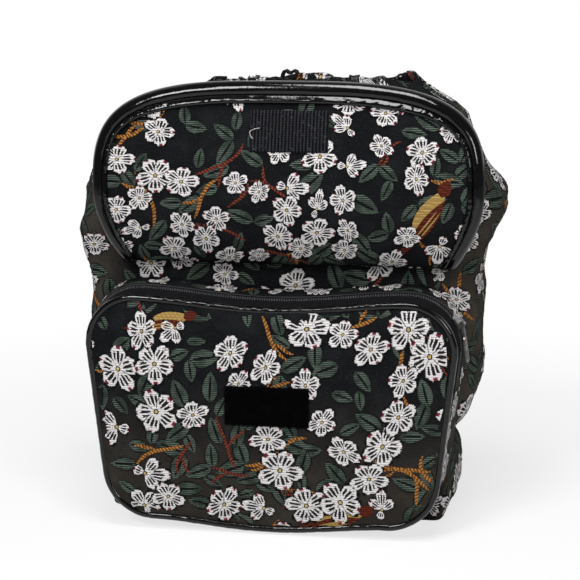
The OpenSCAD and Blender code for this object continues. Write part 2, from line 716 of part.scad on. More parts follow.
base_panel();
back_panel();
front_panel();
gusset(-1);  // left_gusset
gusset(1);  // right_gusset
gathered_collar();
flap();
flap_binding();
hook_patch();
pocket_face_panel();
pocket_piping();
pocket_gusset();
loop_patch();
zip_tape_front();
zip_tape_rear();
zip_coil_front();
zip_coil_rear();
zip_stops();
zip_slider();
zip_pull();
strap_yoke();
hang_loop();
shoulder_strap(-1);  // shoulder_strap_left
shoulder_strap(1);  // shoulder_strap_right
strap_webbing(-1);  // strap_webbing_left
strap_webbing(1);  // strap_webbing_right
strap_return(-1);  // strap_return_left
strap_return(1);  // strap_return_right
strap_adjuster(-1);  // strap_adjuster_left
strap_adjuster(1);  // strap_adjuster_right
anchor_ring(-1);  // anchor_ring_left
anchor_ring(1);  // anchor_ring_right
anchor_tab(-1);  // anchor_tab_left
anchor_tab(1);  // anchor_tab_right
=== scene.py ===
"""Looks of a soft woven backpack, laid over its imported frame."""

import math

import bmesh
import bpy
import numpy as np
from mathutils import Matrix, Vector


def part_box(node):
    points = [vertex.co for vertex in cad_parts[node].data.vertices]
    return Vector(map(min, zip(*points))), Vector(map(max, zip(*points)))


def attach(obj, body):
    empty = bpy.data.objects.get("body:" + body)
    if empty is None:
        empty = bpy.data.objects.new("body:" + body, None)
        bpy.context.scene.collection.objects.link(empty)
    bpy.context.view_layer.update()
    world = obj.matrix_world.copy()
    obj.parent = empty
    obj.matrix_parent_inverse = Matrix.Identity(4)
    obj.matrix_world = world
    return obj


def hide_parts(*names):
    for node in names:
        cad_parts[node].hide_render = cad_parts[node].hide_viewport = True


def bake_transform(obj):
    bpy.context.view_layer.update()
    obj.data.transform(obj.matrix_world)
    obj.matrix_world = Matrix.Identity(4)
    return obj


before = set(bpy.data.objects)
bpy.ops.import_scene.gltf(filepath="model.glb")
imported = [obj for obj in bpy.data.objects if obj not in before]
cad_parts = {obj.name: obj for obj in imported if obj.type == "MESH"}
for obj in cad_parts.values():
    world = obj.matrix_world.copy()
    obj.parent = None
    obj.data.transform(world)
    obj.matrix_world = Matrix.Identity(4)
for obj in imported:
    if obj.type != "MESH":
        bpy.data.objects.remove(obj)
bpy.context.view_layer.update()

bl_info = {
    "name": "Woven backpack",
    "version": (1, 0, 0),
    "blender": (4, 5, 0),
    "location": "3D View > Sidebar > Backpack",
    "description": "Builds the cloth, trim, zip and straps of a woven backpack round its frame",
    "category": "Object",
}

MM = 0.001
BAG = "bag"
CLOTH_UV = "Cloth"
MOTIF_UV = "Motif"

# Outer cloth faces that the woven pattern is laid on, kept until the pattern is done.
BASES = {}


# Sizes and colours


def length(name, text, value):
    """One length property, in metres."""
    return bpy.props.FloatProperty(
        name=name, description=text, default=value, min=0.0, unit="LENGTH", precision=4
    )


def colour(name, text, value):
    """One colour property."""
    return bpy.props.FloatVectorProperty(
        name=name, description=text, default=value, size=3, min=0.0, max=1.0, subtype="COLOR"
    )


class BackpackSizes(bpy.types.PropertyGroup):
    """Sizes of the cloth's folds, pattern and sewing."""

    crumple: length("Crumple", "Depth of the slumped folds in the side gussets", 0.0046)
    gather: length("Gather", "Depth of the gathers round the rim", 0.0045)
    pucker: length("Pucker", "Depth of the ripples in flap and pocket", 0.0012)
    flap_blossom: length("Flap blossom", "Width of a blossom on the flap", 0.0275)
    pocket_blossom: length("Pocket blossom", "Width of a blossom on the pocket", 0.0345)
    sack_blossom: length("Sack blossom", "Width of a blossom on the sack", 0.030)
    leaf: length("Leaf", "Length of a woven leaf", 0.0205)
    binding_lip: length("Binding lip", "How far the flap's binding laps over its cloth", 0.0095)
    wrinkle: length("Wrinkle", "Depth of the wrinkles in the binding", 0.0009)
    stitch: length("Stitch", "Length of one stitch", 0.0030)
    stitch_pitch: length("Stitch pitch", "Distance from one stitch to the next", 0.0044)
    tooth_pitch: length("Tooth pitch", "Distance from one tooth of the zip to the next", 0.0019)


class BackpackColours(bpy.types.PropertyGroup):
    """Colours of the yarns, trim and metal."""

    ground: colour("Ground", "Black warp of the woven cloth", (0.0052, 0.0056, 0.0064))
    faded: colour("Faded ground", "Ground of the sack and of the pocket's lower half", (0.023, 0.020, 0.0165))
    petal: colour("Petal", "White yarn of the blossoms", (0.63, 0.615, 0.61))
    petal_tip: colour("Petal tip", "Burgundy yarn at the petals' notches", (0.16, 0.018, 0.03))
    heart: colour("Heart", "Yellow yarn of the blossoms' centres", (0.30, 0.21, 0.06))
    leaf: colour("Leaf", "Dark green yarn", (0.013, 0.018, 0.0145))
    leaf_light: colour("Leaf hatch", "Lighter green yarn", (0.096, 0.127, 0.102))
    ochre: colour("Ochre", "Yarn of the branches", (0.33, 0.145, 0.036))
    rust: colour("Rust", "Red-brown yarn of branches and birds", (0.17, 0.032, 0.018))
    vinyl: colour("Vinyl", "Glossy binding and piping", (0.0016, 0.0016, 0.0019))
    tape: colour("Tape", "Zip tape and webbing", (0.0055, 0.0055, 0.0065))
    lining: colour("Lining", "Lining inside the sack", (0.014, 0.014, 0.016))
    metal: colour("Metal", "Plated slider and rings", (0.32, 0.31, 0.30))


def sizes():
    return bpy.context.scene.backpack_sizes


def colours():
    return bpy.context.scene.backpack_colours


# Shared curves


def ramp(low, high, x):
    """Smooth step from 0 at low to 1 at high."""
    t = np.clip((np.asarray(x, float) - low) / (high - low), 0, 1)
    return t * t * (3 - 2 * t)


def bell(x, centre, width):
    return np.exp(-(((x - centre) / width) ** 2))


def signed_pow(x, power):
    return np.sign(x) * np.abs(x) ** power


def cell_value(ix, iy, seed):
    """A fixed pseudo-random value from -1 to 1 for each cell of a lattice."""
    h = (ix.astype(np.int64) * 374761393 + iy.astype(np.int64) * 668265263 + seed * 1442695041) & 0x7FFFFFFF
    h = ((h ^ (h >> 13)) * 1274126177) & 0x7FFFFFFF
    return ((h ^ (h >> 16)) & 0xFFFF) / 32767.5 - 1


def ripple(x, y, seed, octaves=3):
    """Smooth seeded noise of two coordinates, about -1 to 1."""
    total = np.zeros(np.broadcast(x, y).shape)
    gain, norm = 1.0, 0.0
    for k in range(octaves):
        fx, fy = np.asarray(x, float) * 2**k, np.asarray(y, float) * 2**k
        ix, iy = np.floor(fx), np.floor(fy)
        tx, ty = fx - ix, fy - iy
        tx, ty = tx * tx * (3 - 2 * tx), ty * ty * (3 - 2 * ty)
        a, b = cell_value(ix, iy, seed + k), cell_value(ix + 1, iy, seed + k)
        c, d = cell_value(ix, iy + 1, seed + k), cell_value(ix + 1, iy + 1, seed + k)
        total = total + gain * ((a + (b - a) * tx) * (1 - ty) + (c + (d - c) * tx) * ty)
        norm += gain
        gain *= 0.5
    return total / norm


def run_along(points):
    """Distance along a line to each of its points."""
    return np.concatenate([[0], np.cumsum(np.linalg.norm(np.diff(points, axis=0), axis=1))])


def unit(vectors, least=0.0):
    """The same vectors at length one."""
    return vectors / (np.linalg.norm(vectors, axis=-1, keepdims=True) + least)


def loop_tangent(loop, step=1):
    """Direction along a closed line at each of its points."""
    return np.roll(loop, -step, 0) - np.roll(loop, step, 0)


def room_to_edge(x, z):
    """Distance of each point of a rectangle to its nearest edge."""
    return np.minimum(np.minimum(x - x.min(), x.max() - x), np.minimum(z - z.min(), z.max() - z))


def cloth_grid(along, across):
    """Cloth coordinates of a grid, in metres, from distances along and across it."""
    return np.stack(np.meshgrid(along, across, indexing="ij"), 2) * MM


def even_line(points, count):
    """The same polyline with its points evenly spaced along it."""
    points = np.asarray(points, float)
    run = run_along(points)
    at = np.linspace(0, run[-1], count)
    return np.stack([np.interp(at, run, points[:, k]) for k in range(points.shape[1])], 1)


def smooth_profile(points, count):
    """A smooth open curve through a few section points."""
    p = np.asarray(points, float)
    p = np.vstack([2 * p[0] - p[1], p, 2 * p[-1] - p[-2]])
    out = []
    for t in np.linspace(0, len(points) - 1 - 1e-9, count):
        i, f = int(t), t - int(t)
        a, b, c, d = p[i], p[i + 1], p[i + 2], p[i + 3]
        square, cube = 2 * a - 5 * b + 4 * c - d, 3 * b - a - 3 * c + d
        out.append(0.5 * (2 * b + (c - a) * f + square * f**2 + cube * f**3))
    return np.array(out)


# Meshes


def grid_faces(rows, cols, loop_rows=False, loop_cols=False):
    """Quads of a grid whose rows or columns may close on themselves."""
    i = np.arange(rows if loop_rows else rows - 1)
    j = np.arange(cols if loop_cols else cols - 1)
    i, j = [a.ravel() for a in np.meshgrid(i, j, indexing="ij")]
    ni, nj = (i + 1) % rows, (j + 1) % cols
    return np.stack([i * cols + j, i * cols + nj, ni * cols + nj, ni * cols + j], 1)


def make_object(name, points, faces, uv=None, uv_name=CLOTH_UV, smooth=True):
    """A mesh object in metres, with one UV pair for each face corner if given."""
    mesh = bpy.data.meshes.new(name)
    mesh.from_pydata(np.asarray(points, float).tolist(), [], [list(map(int, face)) for face in faces])
    if uv is not None:
        layer = mesh.uv_layers.new(name=uv_name)
        layer.data.foreach_set("uv", np.asarray(uv, np.float32).ravel())
    mesh.polygons.foreach_set("use_smooth", [smooth] * len(mesh.polygons))
    mesh.update()
    obj = bpy.data.objects.new(name, mesh)
    bpy.context.scene.collection.objects.link(obj)
    return obj


def grid_object(name, points, uv, loop_rows=False, loop_cols=False, flip=False):
    """A grid of points, in millimetres, as a smooth sheet with its cloth coordinates in metres."""
    rows, cols = points.shape[:2]
    faces = grid_faces(rows, cols, loop_rows, loop_cols)
    uv_pad = uv
    if loop_cols:
        step = uv[:, -1:] + (uv[:, -1:] - uv[:, -2:-1])
        uv_pad = np.concatenate([uv, step], 1)
    if loop_rows:
        step = uv_pad[-1:] + (uv_pad[-1:] - uv_pad[-2:-1])
        uv_pad = np.concatenate([uv_pad, step], 0)
    wide = uv_pad.shape[1]
    i = np.arange(rows if loop_rows else rows - 1)
    j = np.arange(cols if loop_cols else cols - 1)
    i, j = [a.ravel() for a in np.meshgrid(i, j, indexing="ij")]
    corner = np.stack([i * wide + j, i * wide + j + 1, (i + 1) * wide + j + 1, (i + 1) * wide + j], 1)
    if flip:
        faces, corner = faces[:, ::-1], corner[:, ::-1]
    flat = uv_pad.reshape(-1, 2)[corner.ravel()]
    return make_object(name, points.reshape(-1, 3) * MM, faces, flat)


def paint(obj, *finishes):
    """Gives an object these materials, in order."""
    obj.data.materials.clear()
    for finish in finishes:
        obj.data.materials.append(finish)


def bake_modifiers(obj):
    """Turns an object's modifiers into its plain mesh."""
    bpy.context.view_layer.update()
    graph = bpy.context.evaluated_depsgraph_get()
    shown = obj.evaluated_get(graph)
    mesh = bpy.data.meshes.new_from_object(shown, preserve_all_data_layers=True, depsgraph=graph)
    old = obj.data
    obj.modifiers.clear()
    obj.data = mesh
    mesh.name = obj.name
    if old.users == 0:
        bpy.data.meshes.remove(old)
    return obj


def thicken(obj, thick, rim=None):
    """Gives an open cloth face its thickness, inwards."""
    wall = obj.modifiers.new("Thickness", "SOLIDIFY")
    wall.thickness = thick
    wall.offset = -1.0
    wall.use_even_offset = False
    wall.use_rim = True
    if rim is not None:
        wall.material_offset = rim
        wall.material_offset_rim = rim
    return bake_modifiers(obj)


def keep_base(name, obj):
    """Copies an open cloth face for the pattern to be laid on."""
    base = obj.copy()
    base.data = obj.data.copy()
    base.name = name + "_base"
    bpy.context.scene.collection.objects.link(base)
    BASES[name] = base


def discard(obj):
    data = obj.data
    bpy.data.objects.remove(obj)
    if data is not None and data.users == 0:
        (bpy.data.meshes if isinstance(data, bpy.types.Mesh) else bpy.data.curves).remove(data)


def join_meshes(name, objects):
    """One mesh object from several."""
    for o in bpy.context.selected_objects:
        o.select_set(False)
    for o in objects:
        o.select_set(True)
    bpy.context.view_layer.objects.active = objects[0]
    bpy.ops.object.join()
    joined = objects[0]
    joined.name = name
    joined.data.name = name
    joined.select_set(False)
    return joined


def settle(obj, slot, *nodes, body=BAG):
    """Puts a finished piece on its body, in place of its plain solids."""
    if nodes:
        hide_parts(*nodes)
    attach(obj, body)
    return obj


# Node trees


def new_tree(name, **inputs):
    """A geometry tree with named inputs, each with its socket type."""
    tree = bpy.data.node_groups.new(name, "GeometryNodeTree")
    tree.interface.new_socket("Geometry", in_out="INPUT", socket_type="NodeSocketGeometry")
    for label, kind in inputs.items():
        tree.interface.new_socket(label, in_out="INPUT", socket_type="NodeSocket" + kind)
    tree.interface.new_socket("Geometry", in_out="OUTPUT", socket_type="NodeSocketGeometry")
    return tree, tree.nodes.new("NodeGroupInput"), tree.nodes.new("NodeGroupOutput")


def named(tree, name, kind):
    """Reads a named attribute."""
    node = tree.nodes.new("GeometryNodeInputNamedAttribute")
    node.data_type = kind
    node.inputs["Name"].default_value = name
    return node.outputs["Attribute"]


def end_tree(tree, source, out, geometry):
    """Ends a tree in Realize Instances and Set Material."""
    real = tree.nodes.new("GeometryNodeRealizeInstances")
    finish = tree.nodes.new("GeometryNodeSetMaterial")
    tree.links.new(geometry, real.inputs["Geometry"])
    tree.links.new(real.outputs["Geometry"], finish.inputs["Geometry"])
    tree.links.new(source.outputs["Finish"], finish.inputs["Material"])
    tree.links.new(finish.outputs["Geometry"], out.inputs["Geometry"])


def wrap_on_cloth(tree, source, geometry):
    """Moves flat geometry, drawn in cloth coordinates, onto the cloth, and drops what falls outside it."""
    new, link = tree.nodes.new, tree.links.new
    store = new("GeometryNodeStoreNamedAttribute")
    store.data_type, store.domain = "FLOAT2", "CORNER"
    store.inputs["Name"].default_value = CLOTH_UV
    place = new("GeometryNodeInputPosition")
    link(geometry, store.inputs["Geometry"])
    link(place.outputs[0], store.inputs["Value"])
    cloth = new("GeometryNodeObjectInfo")
    link(source.outputs["Cloth"], cloth.inputs["Object"])
    coords = named(tree, CLOTH_UV, "FLOAT_VECTOR")
    samples = []
    for kind in ("GeometryNodeInputPosition", "GeometryNodeInputNormal"):
        sample = new("GeometryNodeSampleUVSurface")
        sample.data_type = "FLOAT_VECTOR"
        link(cloth.outputs["Geometry"], sample.inputs["Mesh"])
        link(new(kind).outputs[0], sample.inputs["Value"])
        link(coords, sample.inputs[2])
        link(place.outputs[0], sample.inputs["Sample UV"])
        samples.append(sample)
    split = new("ShaderNodeSeparateXYZ")
    link(place.outputs[0], split.inputs[0])
    add = new("ShaderNodeMath")
    link(split.outputs["Z"], add.inputs[0])
    link(source.outputs["Lift"], add.inputs[1])
    raise_by = new("ShaderNodeVectorMath")
    raise_by.operation = "SCALE"
    link(samples[1].outputs["Value"], raise_by.inputs[0])
    link(add.outputs[0], raise_by.inputs["Scale"])
    total = new("ShaderNodeVectorMath")
    link(samples[0].outputs["Value"], total.inputs[0])
    link(raise_by.outputs[0], total.inputs[1])
    outside = new("FunctionNodeBooleanMath")
    outside.operation = "NOT"
    link(samples[0].outputs["Is Valid"], outside.inputs[0])
    drop = new("GeometryNodeDeleteGeometry")
    drop.domain = "POINT"
    link(store.outputs["Geometry"], drop.inputs["Geometry"])
    link(outside.outputs[0], drop.inputs["Selection"])
    move = new("GeometryNodeSetPosition")
    link(drop.outputs["Geometry"], move.inputs["Geometry"])
    link(total.outputs[0], move.inputs["Position"])
    return move.outputs["Geometry"]


def motif_tree():
    """Repeats one flat motif at the pattern's points and wraps the result on the cloth."""
    tree, source, out = new_tree(
        "Woven motifs", Motif="Object", Cloth="Object", Lift="Float", Finish="Material"
    )
    new, link = tree.nodes.new, tree.links.new
    motif = new("GeometryNodeObjectInfo")
    link(source.outputs["Motif"], motif.inputs["Object"])
    spin = new("ShaderNodeCombineXYZ")
    link(named(tree, "turn", "FLOAT"), spin.inputs["Z"])
    turn = new("FunctionNodeEulerToRotation")
    link(spin.outputs[0], turn.inputs[0])
    copies = new("GeometryNodeInstanceOnPoints")
    link(source.outputs["Geometry"], copies.inputs["Points"])
    link(motif.outputs["Geometry"], copies.inputs["Instance"])
    link(turn.outputs[0], copies.inputs["Rotation"])
    link(named(tree, "size", "FLOAT_VECTOR"), copies.inputs["Scale"])
    flat = new("GeometryNodeRealizeInstances")
    link(copies.outputs["Instances"], flat.inputs["Geometry"])
    end_tree(tree, source, out, wrap_on_cloth(tree, source, flat.outputs["Geometry"]))
    return tree


def ribbon_tree():
    """Wraps flat branches on the cloth."""
    tree, source, out = new_tree("Woven branches", Cloth="Object", Lift="Float", Finish="Material")
    end_tree(tree, source, out, wrap_on_cloth(tree, source, source.outputs["Geometry"]))
    return tree


def path_tree():
    """Sets copies of one item along a path at an even spacing, such as stitches or zip teeth."""
    tree, source, out = new_tree("Along a path", Item="Object", Spacing="Float", Finish="Material")
    new, link = tree.nodes.new, tree.links.new
    line = new("GeometryNodeMeshToCurve")
    link(source.outputs["Geometry"], line.inputs["Mesh"])
    points = new("GeometryNodeCurveToPoints")
    points.mode = "LENGTH"
    link(line.outputs["Curve"], points.inputs["Curve"])
    link(source.outputs["Spacing"], points.inputs["Length"])
    item = new("GeometryNodeObjectInfo")
    link(source.outputs["Item"], item.inputs["Object"])
    copies = new("GeometryNodeInstanceOnPoints")
    link(points.outputs["Points"], copies.inputs["Points"])
    link(points.outputs["Rotation"], copies.inputs["Rotation"])
    link(item.outputs["Geometry"], copies.inputs["Instance"])
    end_tree(tree, source, out, copies.outputs["Instances"])
    return tree


def nap_tree():
    """Scatters short fibres over a face with a fixed seed."""
    tree, source, out = new_tree(
        "Fibre nap", Item="Object", Density="Float", Seed="Int", Finish="Material"
    )
    new, link = tree.nodes.new, tree.links.new
    points = new("GeometryNodeDistributePointsOnFaces")
    link(source.outputs["Geometry"], points.inputs["Mesh"])
    link(source.outputs["Density"], points.inputs["Density"])
    link(source.outputs["Seed"], points.inputs["Seed"])
    item = new("GeometryNodeObjectInfo")
    link(source.outputs["Item"], item.inputs["Object"])
    lean = new("FunctionNodeRandomValue")
    lean.data_type = "FLOAT_VECTOR"
    lean.inputs[0].default_value = (-0.7, -0.7, 0.0)
    lean.inputs[1].default_value = (0.7, 0.7, math.tau)
    link(source.outputs["Seed"], lean.inputs["Seed"])
    tilt = new("FunctionNodeEulerToRotation")
    link(lean.outputs[0], tilt.inputs[0])
    turn = new("FunctionNodeRotateRotation")
    turn.rotation_space = "LOCAL"
    link(points.outputs["Rotation"], turn.inputs["Rotation"])
    link(tilt.outputs[0], turn.inputs["Rotate By"])
    copies = new("GeometryNodeInstanceOnPoints")
    link(points.outputs["Points"], copies.inputs["Points"])
    link(turn.outputs[0], copies.inputs["Rotation"])
    link(item.outputs["Geometry"], copies.inputs["Instance"])
    end_tree(tree, source, out, copies.outputs["Instances"])
    return tree


TREES = {"motif": motif_tree, "ribbon": ribbon_tree, "path": path_tree, "nap": nap_tree}
BUILT_TREES = {}


def run_tree(obj, kind, **inputs):
    """Runs a tree on an object with its inputs set by identifier, and keeps the result as a plain mesh."""
    if kind not in BUILT_TREES:
        BUILT_TREES[kind] = TREES[kind]()
    tree = BUILT_TREES[kind]
    ids = {s.name: s.identifier for s in tree.interface.items_tree if s.in_out == "INPUT"}
    modifier = obj.modifiers.new(tree.name, "NODES")
    modifier.node_group = tree
    for label, value in inputs.items():
        modifier[ids[label]] = value
    return bake_modifiers(obj)


# Materials


class Recipe:
    """Small helper that writes one node material."""

    def __init__(self, name):
        self.material = bpy.data.materials.new(name)
        self.material.use_nodes = True
        self.tree = self.material.node_tree
        self.shader = self.tree.nodes["Principled BSDF"]

    def node(self, kind, **settings):
        made = self.tree.nodes.new(kind)
        for key, value in settings.items():
            setattr(made, key, value)
        return made

    def link(self, source, target):
        self.tree.links.new(source, target)
        return self

    def set(self, **values):
        for key, value in values.items():
            self.shader.inputs[key.replace("_", " ")].default_value = value
        return self

    def uv(self, name):
        return self.node("ShaderNodeUVMap", uv_map=name).outputs["UV"]

    def place(self):
        return self.node("ShaderNodeTexCoord").outputs["Object"]

    def math(self, operation, a, b=None, c=None):
        made = self.node("ShaderNodeMath", operation=operation)
        for k, value in enumerate((a, b, c)):
            if value is None:
                continue
            if isinstance(value, (int, float)):
                made.inputs[k].default_value = value
            else:
                self.link(value, made.inputs[k])
        return made.outputs[0]

    def plus(self, a, b):
        return self.math("ADD", a, b)

    def minus(self, a, b):
        return self.math("SUBTRACT", a, b)

    def times(self, a, b):
        return self.math("MULTIPLY", a, b)

    def split(self, vector):
        made = self.node("ShaderNodeSeparateXYZ")
        self.link(vector, made.inputs[0])
        return made.outputs

    def noise(self, vector, scale, detail=3.0, rough=0.5):
        made = self.node("ShaderNodeTexNoise")
        self.link(vector, made.inputs["Vector"])
        made.inputs["Scale"].default_value = scale
        made.inputs["Detail"].default_value = detail
        made.inputs["Roughness"].default_value = rough
        return made.outputs[0]

    def between(self, value, low, high):
        """0 below low, 1 above high, smooth between."""
        made = self.node("ShaderNodeMapRange", interpolation_type="SMOOTHSTEP")
        self.link(value, made.inputs["Value"])
        made.inputs["From Min"].default_value = low
        made.inputs["From Max"].default_value = high
        return made.outputs[0]

    def below(self, limit, value, soft):
        """1 where a value is under its limit, fading to 0 at the limit."""
        return self.between(self.minus(limit, value), 0.0, soft)

    def mix(self, factor, a, b):
        """A colour between a and b."""
        made = self.node("ShaderNodeMix", data_type="RGBA")
        self.link(factor, made.inputs[0])
        for socket, value in ((made.inputs[6], a), (made.inputs[7], b)):
            if hasattr(value, "is_output"):
                self.link(value, socket)
            else:
                socket.default_value = (*value, 1.0)
        return made.outputs[2]

    def wave(self, coordinate, period, phase=None):
        """A wave from 0 to 1 along one coordinate in metres."""
        angle = self.times(coordinate, math.tau / period)
        if phase is not None:
            angle = self.plus(angle, phase)
        return self.math("MULTIPLY_ADD", self.math("SINE", angle), 0.5, 0.5)

    def bump(self, height, strength, distance):
        made = self.node("ShaderNodeBump")
        made.inputs["Strength"].default_value = strength
        made.inputs["Distance"].default_value = distance
        self.link(height, made.inputs["Height"])
        self.link(made.outputs[0], self.shader.inputs["Normal"])
        return self

    def colour(self, socket):
        return self.link(socket, self.shader.inputs["Base Color"])


def shade(colour, by):
    """A colour made darker or lighter."""
    return tuple(v * by for v in colour)


FINISHES = {}


def finish(name):
    """A named material, made once."""
    if name not in FINISHES:
        FINISHES[name] = RECIPES[name]()
    return FINISHES[name]


def yarn_relief(recipe, pitch=0.0016):
    """Height of crossing yarns in cloth coordinates, broken up by a little noise."""
    u, v, _ = recipe.split(recipe.uv(CLOTH_UV))
    waver = recipe.times(recipe.noise(recipe.place(), 260.0, 2.0), 1.6)
    weft = recipe.wave(v, pitch, waver)
    warp = recipe.wave(u, pitch * 0.75, waver)
    return recipe.plus(recipe.times(weft, 0.65), recipe.times(warp, 0.35)), weft, warp


def ground_cloth(name, high, low, paler_sides=False):
    """Black warp with brownish weft showing through, paler and browner low down or at the sides."""
    r = Recipe(name)
    height = yarn_relief(r)[0]
    x, _, z = r.split(r.place())
    black_share = r.between(z, 0.02, 0.13)
    # Towards the sack's sides the ground turns paler and browner.
    if paler_sides:
        black_share = r.minus(1.0, r.between(r.math("ABSOLUTE", x), 0.112, 0.142))
    cloud = r.between(r.noise(r.place(), 38.0, 4.0, 0.6), 0.40, 0.75)
    main = r.mix(black_share, low, high)
    dusty = r.mix(black_share, shade(low, 1.6), shade(high, 2.0))
    fleck = r.between(r.noise(r.place(), 900.0, 1.0), 0.60, 0.74)
    r.colour(r.mix(fleck, r.mix(cloud, main, dusty), shade(high, 3.0)))
    r.set(Roughness=0.92, Specular_IOR_Level=0.05)
    r.bump(height, 0.5, 0.0005)
    return r.material


def woven_ground():
    return ground_cloth("woven_ground", colours().ground, colours().faded)


def sack_ground():
    return ground_cloth("sack_ground", colours().ground, shade(colours().faded, 1.5), paler_sides=True)


def stepped(recipe, weft, warp, depth):
    """How far a woven edge steps in and out from one yarn to the next."""
    return recipe.math("MULTIPLY_ADD", weft, depth, recipe.times(warp, depth * 0.6))


def woven_petal():
    """White yarn in notched petals with stepped edges, dark slits and burgundy tips."""
    c = colours()
    r = Recipe("woven_petal")
    height, weft, warp = yarn_relief(r, 0.0019)
    across, along, _ = r.split(r.uv(MOTIF_UV))
    side = r.math("ABSOLUTE", across)
    jag = stepped(r, weft, warp, 0.08)
    notch = r.times(r.below(0.24, side, 0.24), 0.06)
    shoulder = r.times(r.between(side, 0.35, 1.05), 0.34)
    tip = r.minus(1.06, r.plus(notch, shoulder))
    tip = r.minus(tip, jag)
    inside = r.times(r.below(tip, along, 0.03), r.below(0.98, r.plus(side, jag), 0.05))
    vary = r.times(r.noise(r.place(), 210.0, 1.0), 0.16)
    reach = r.plus(along, jag)
    middle = r.times(r.below(r.plus(vary, 0.12), side, 0.06), r.below(0.82, reach, 0.05))
    arm = r.math("ABSOLUTE", r.minus(side, 0.50))
    arms = r.times(r.below(r.plus(vary, 0.09), arm, 0.06), r.below(0.74, reach, 0.05))
    arms = r.times(arms, r.between(along, 0.24, 0.30))
    middle = r.times(middle, r.between(along, 0.14, 0.20))
    slits = r.math("MAXIMUM", middle, arms)
    rows = r.mix(r.between(weft, 0.0, 0.45), (0.40, 0.37, 0.38), c.petal)
    slitted = r.mix(slits, rows, (0.014, 0.013, 0.014))
    blush = r.times(r.between(along, 0.80, 0.84), r.below(0.30, side, 0.08))
    blush = r.times(blush, r.between(r.noise(r.place(), 130.0, 0.0), 0.47, 0.52))
    tipped = r.mix(blush, slitted, c.petal_tip)
    r.colour(r.mix(inside, c.ground, tipped))
    r.set(Roughness=0.88, Specular_IOR_Level=0.05)
    r.bump(height, 0.6, 0.0005)
    return r.material


def woven_heart():
    """Yellow knot of yarn inside a dark ring."""
    c = colours()
    r = Recipe("woven_heart")
    across, along, _ = r.split(r.uv(MOTIF_UV))
    radius = r.math("SQRT", r.plus(r.times(across, across), r.times(along, along)))
    fleck = r.mix(r.between(r.noise(r.place(), 700.0, 1.0), 0.35, 0.65), c.heart, (0.46, 0.38, 0.18))
    r.colour(r.mix(r.between(radius, 0.55, 0.72), fleck, (0.03, 0.012, 0.01)))
    r.set(Roughness=0.88, Specular_IOR_Level=0.06)
    return r.material


def woven_leaf():
    """Dark green leaf ruled with lighter weft on both sides of a black rib, with a stepped edge."""
    c = colours()
    r = Recipe("woven_leaf")
    height, weft, warp = yarn_relief(r, 0.00145)
    across, along, _ = r.split(r.uv(MOTIF_UV))
    side = r.math("ABSOLUTE", across)
    jag = stepped(r, weft, warp, 0.11)
    inside = r.below(0.98, r.plus(side, jag), 0.06)
    patch = r.between(r.noise(r.place(), 120.0, 2.0), 0.30, 0.66)
    hatch = r.times(r.between(weft, 0.35, 0.75), r.math("MULTIPLY_ADD", patch, 0.75, 0.25))
    body = r.mix(hatch, c.leaf, c.leaf_light)
    rib = r.times(r.below(0.17, side, 0.05), r.below(0.86, along, 0.05))
    ribbed = r.mix(rib, body, c.ground)
    r.colour(r.mix(inside, c.ground, ribbed))
    r.set(Roughness=0.9, Specular_IOR_Level=0.05)
    r.bump(height, 0.5, 0.0004)
    return r.material


def twisted_yarn(name, main, shade):
    """A branch of two yarns twisted together."""
    r = Recipe(name)
    across, along, _ = r.split(r.uv(MOTIF_UV))
    twist = r.math("SINE", r.plus(r.times(along, math.tau / 0.0026), r.times(across, 1.7)))
    body = r.mix(r.between(twist, -0.60, 0.10), shade, main)
    fleck = r.between(r.noise(r.place(), 500.0, 1.0), 0.5, 0.72)
    r.colour(r.mix(fleck, body, shade))
    r.set(Roughness=0.88, Specular_IOR_Level=0.06)
    r.bump(twist, 0.5, 0.0004)
    return r.material


def woven_branch():
    return twisted_yarn("woven_branch", colours().ochre, (0.085, 0.030, 0.010))


def woven_twig():
    return twisted_yarn("woven_twig", colours().rust, (0.030, 0.012, 0.010))


def feathers(name, main, bar):
    """Bird feathers barred across with a second yarn."""
    r = Recipe(name)
    height, weft, _ = yarn_relief(r, 0.0020)
    across, along, _ = r.split(r.uv(MOTIF_UV))
    bars = r.math("SINE", r.math("MULTIPLY_ADD", along, 64.0, r.times(across, 5.0)))
    streak = r.times(r.between(bars, -0.2, 0.6), r.between(weft, 0.25, 0.7))
    r.colour(r.mix(streak, main, bar))
    r.set(Roughness=0.88, Specular_IOR_Level=0.06)
    r.bump(height, 0.6, 0.0005)
    return r.material


def woven_plume():
    return feathers("woven_plume", shade(colours().rust, 0.30), (0.13, 0.028, 0.015))


def woven_breast():
    return feathers("woven_breast", (0.27, 0.17, 0.05), (0.38, 0.27, 0.10))


def glossy_vinyl():
    """Black imitation leather with fine grain and soft creases."""
    c = colours()
    r = Recipe("glossy_vinyl")
    grain = r.noise(r.place(), 1400.0, 2.0)
    crease = r.noise(r.place(), 170.0, 4.0, 0.6)
    rough = r.node("ShaderNodeMapRange")
    r.link(crease, rough.inputs["Value"])
    rough.inputs["To Min"].default_value, rough.inputs["To Max"].default_value = 0.06, 0.14
    r.link(rough.outputs[0], r.shader.inputs["Roughness"])
    scuff = r.between(r.noise(r.place(), 60.0, 5.0, 0.65), 0.52, 0.80)
    r.colour(r.mix(scuff, c.vinyl, (0.004, 0.004, 0.0045)))
    r.set(Specular_IOR_Level=0.36)
    r.bump(r.math("MULTIPLY_ADD", crease, 1.0, r.times(grain, 0.06)), 0.16, 0.0009)
    return r.material


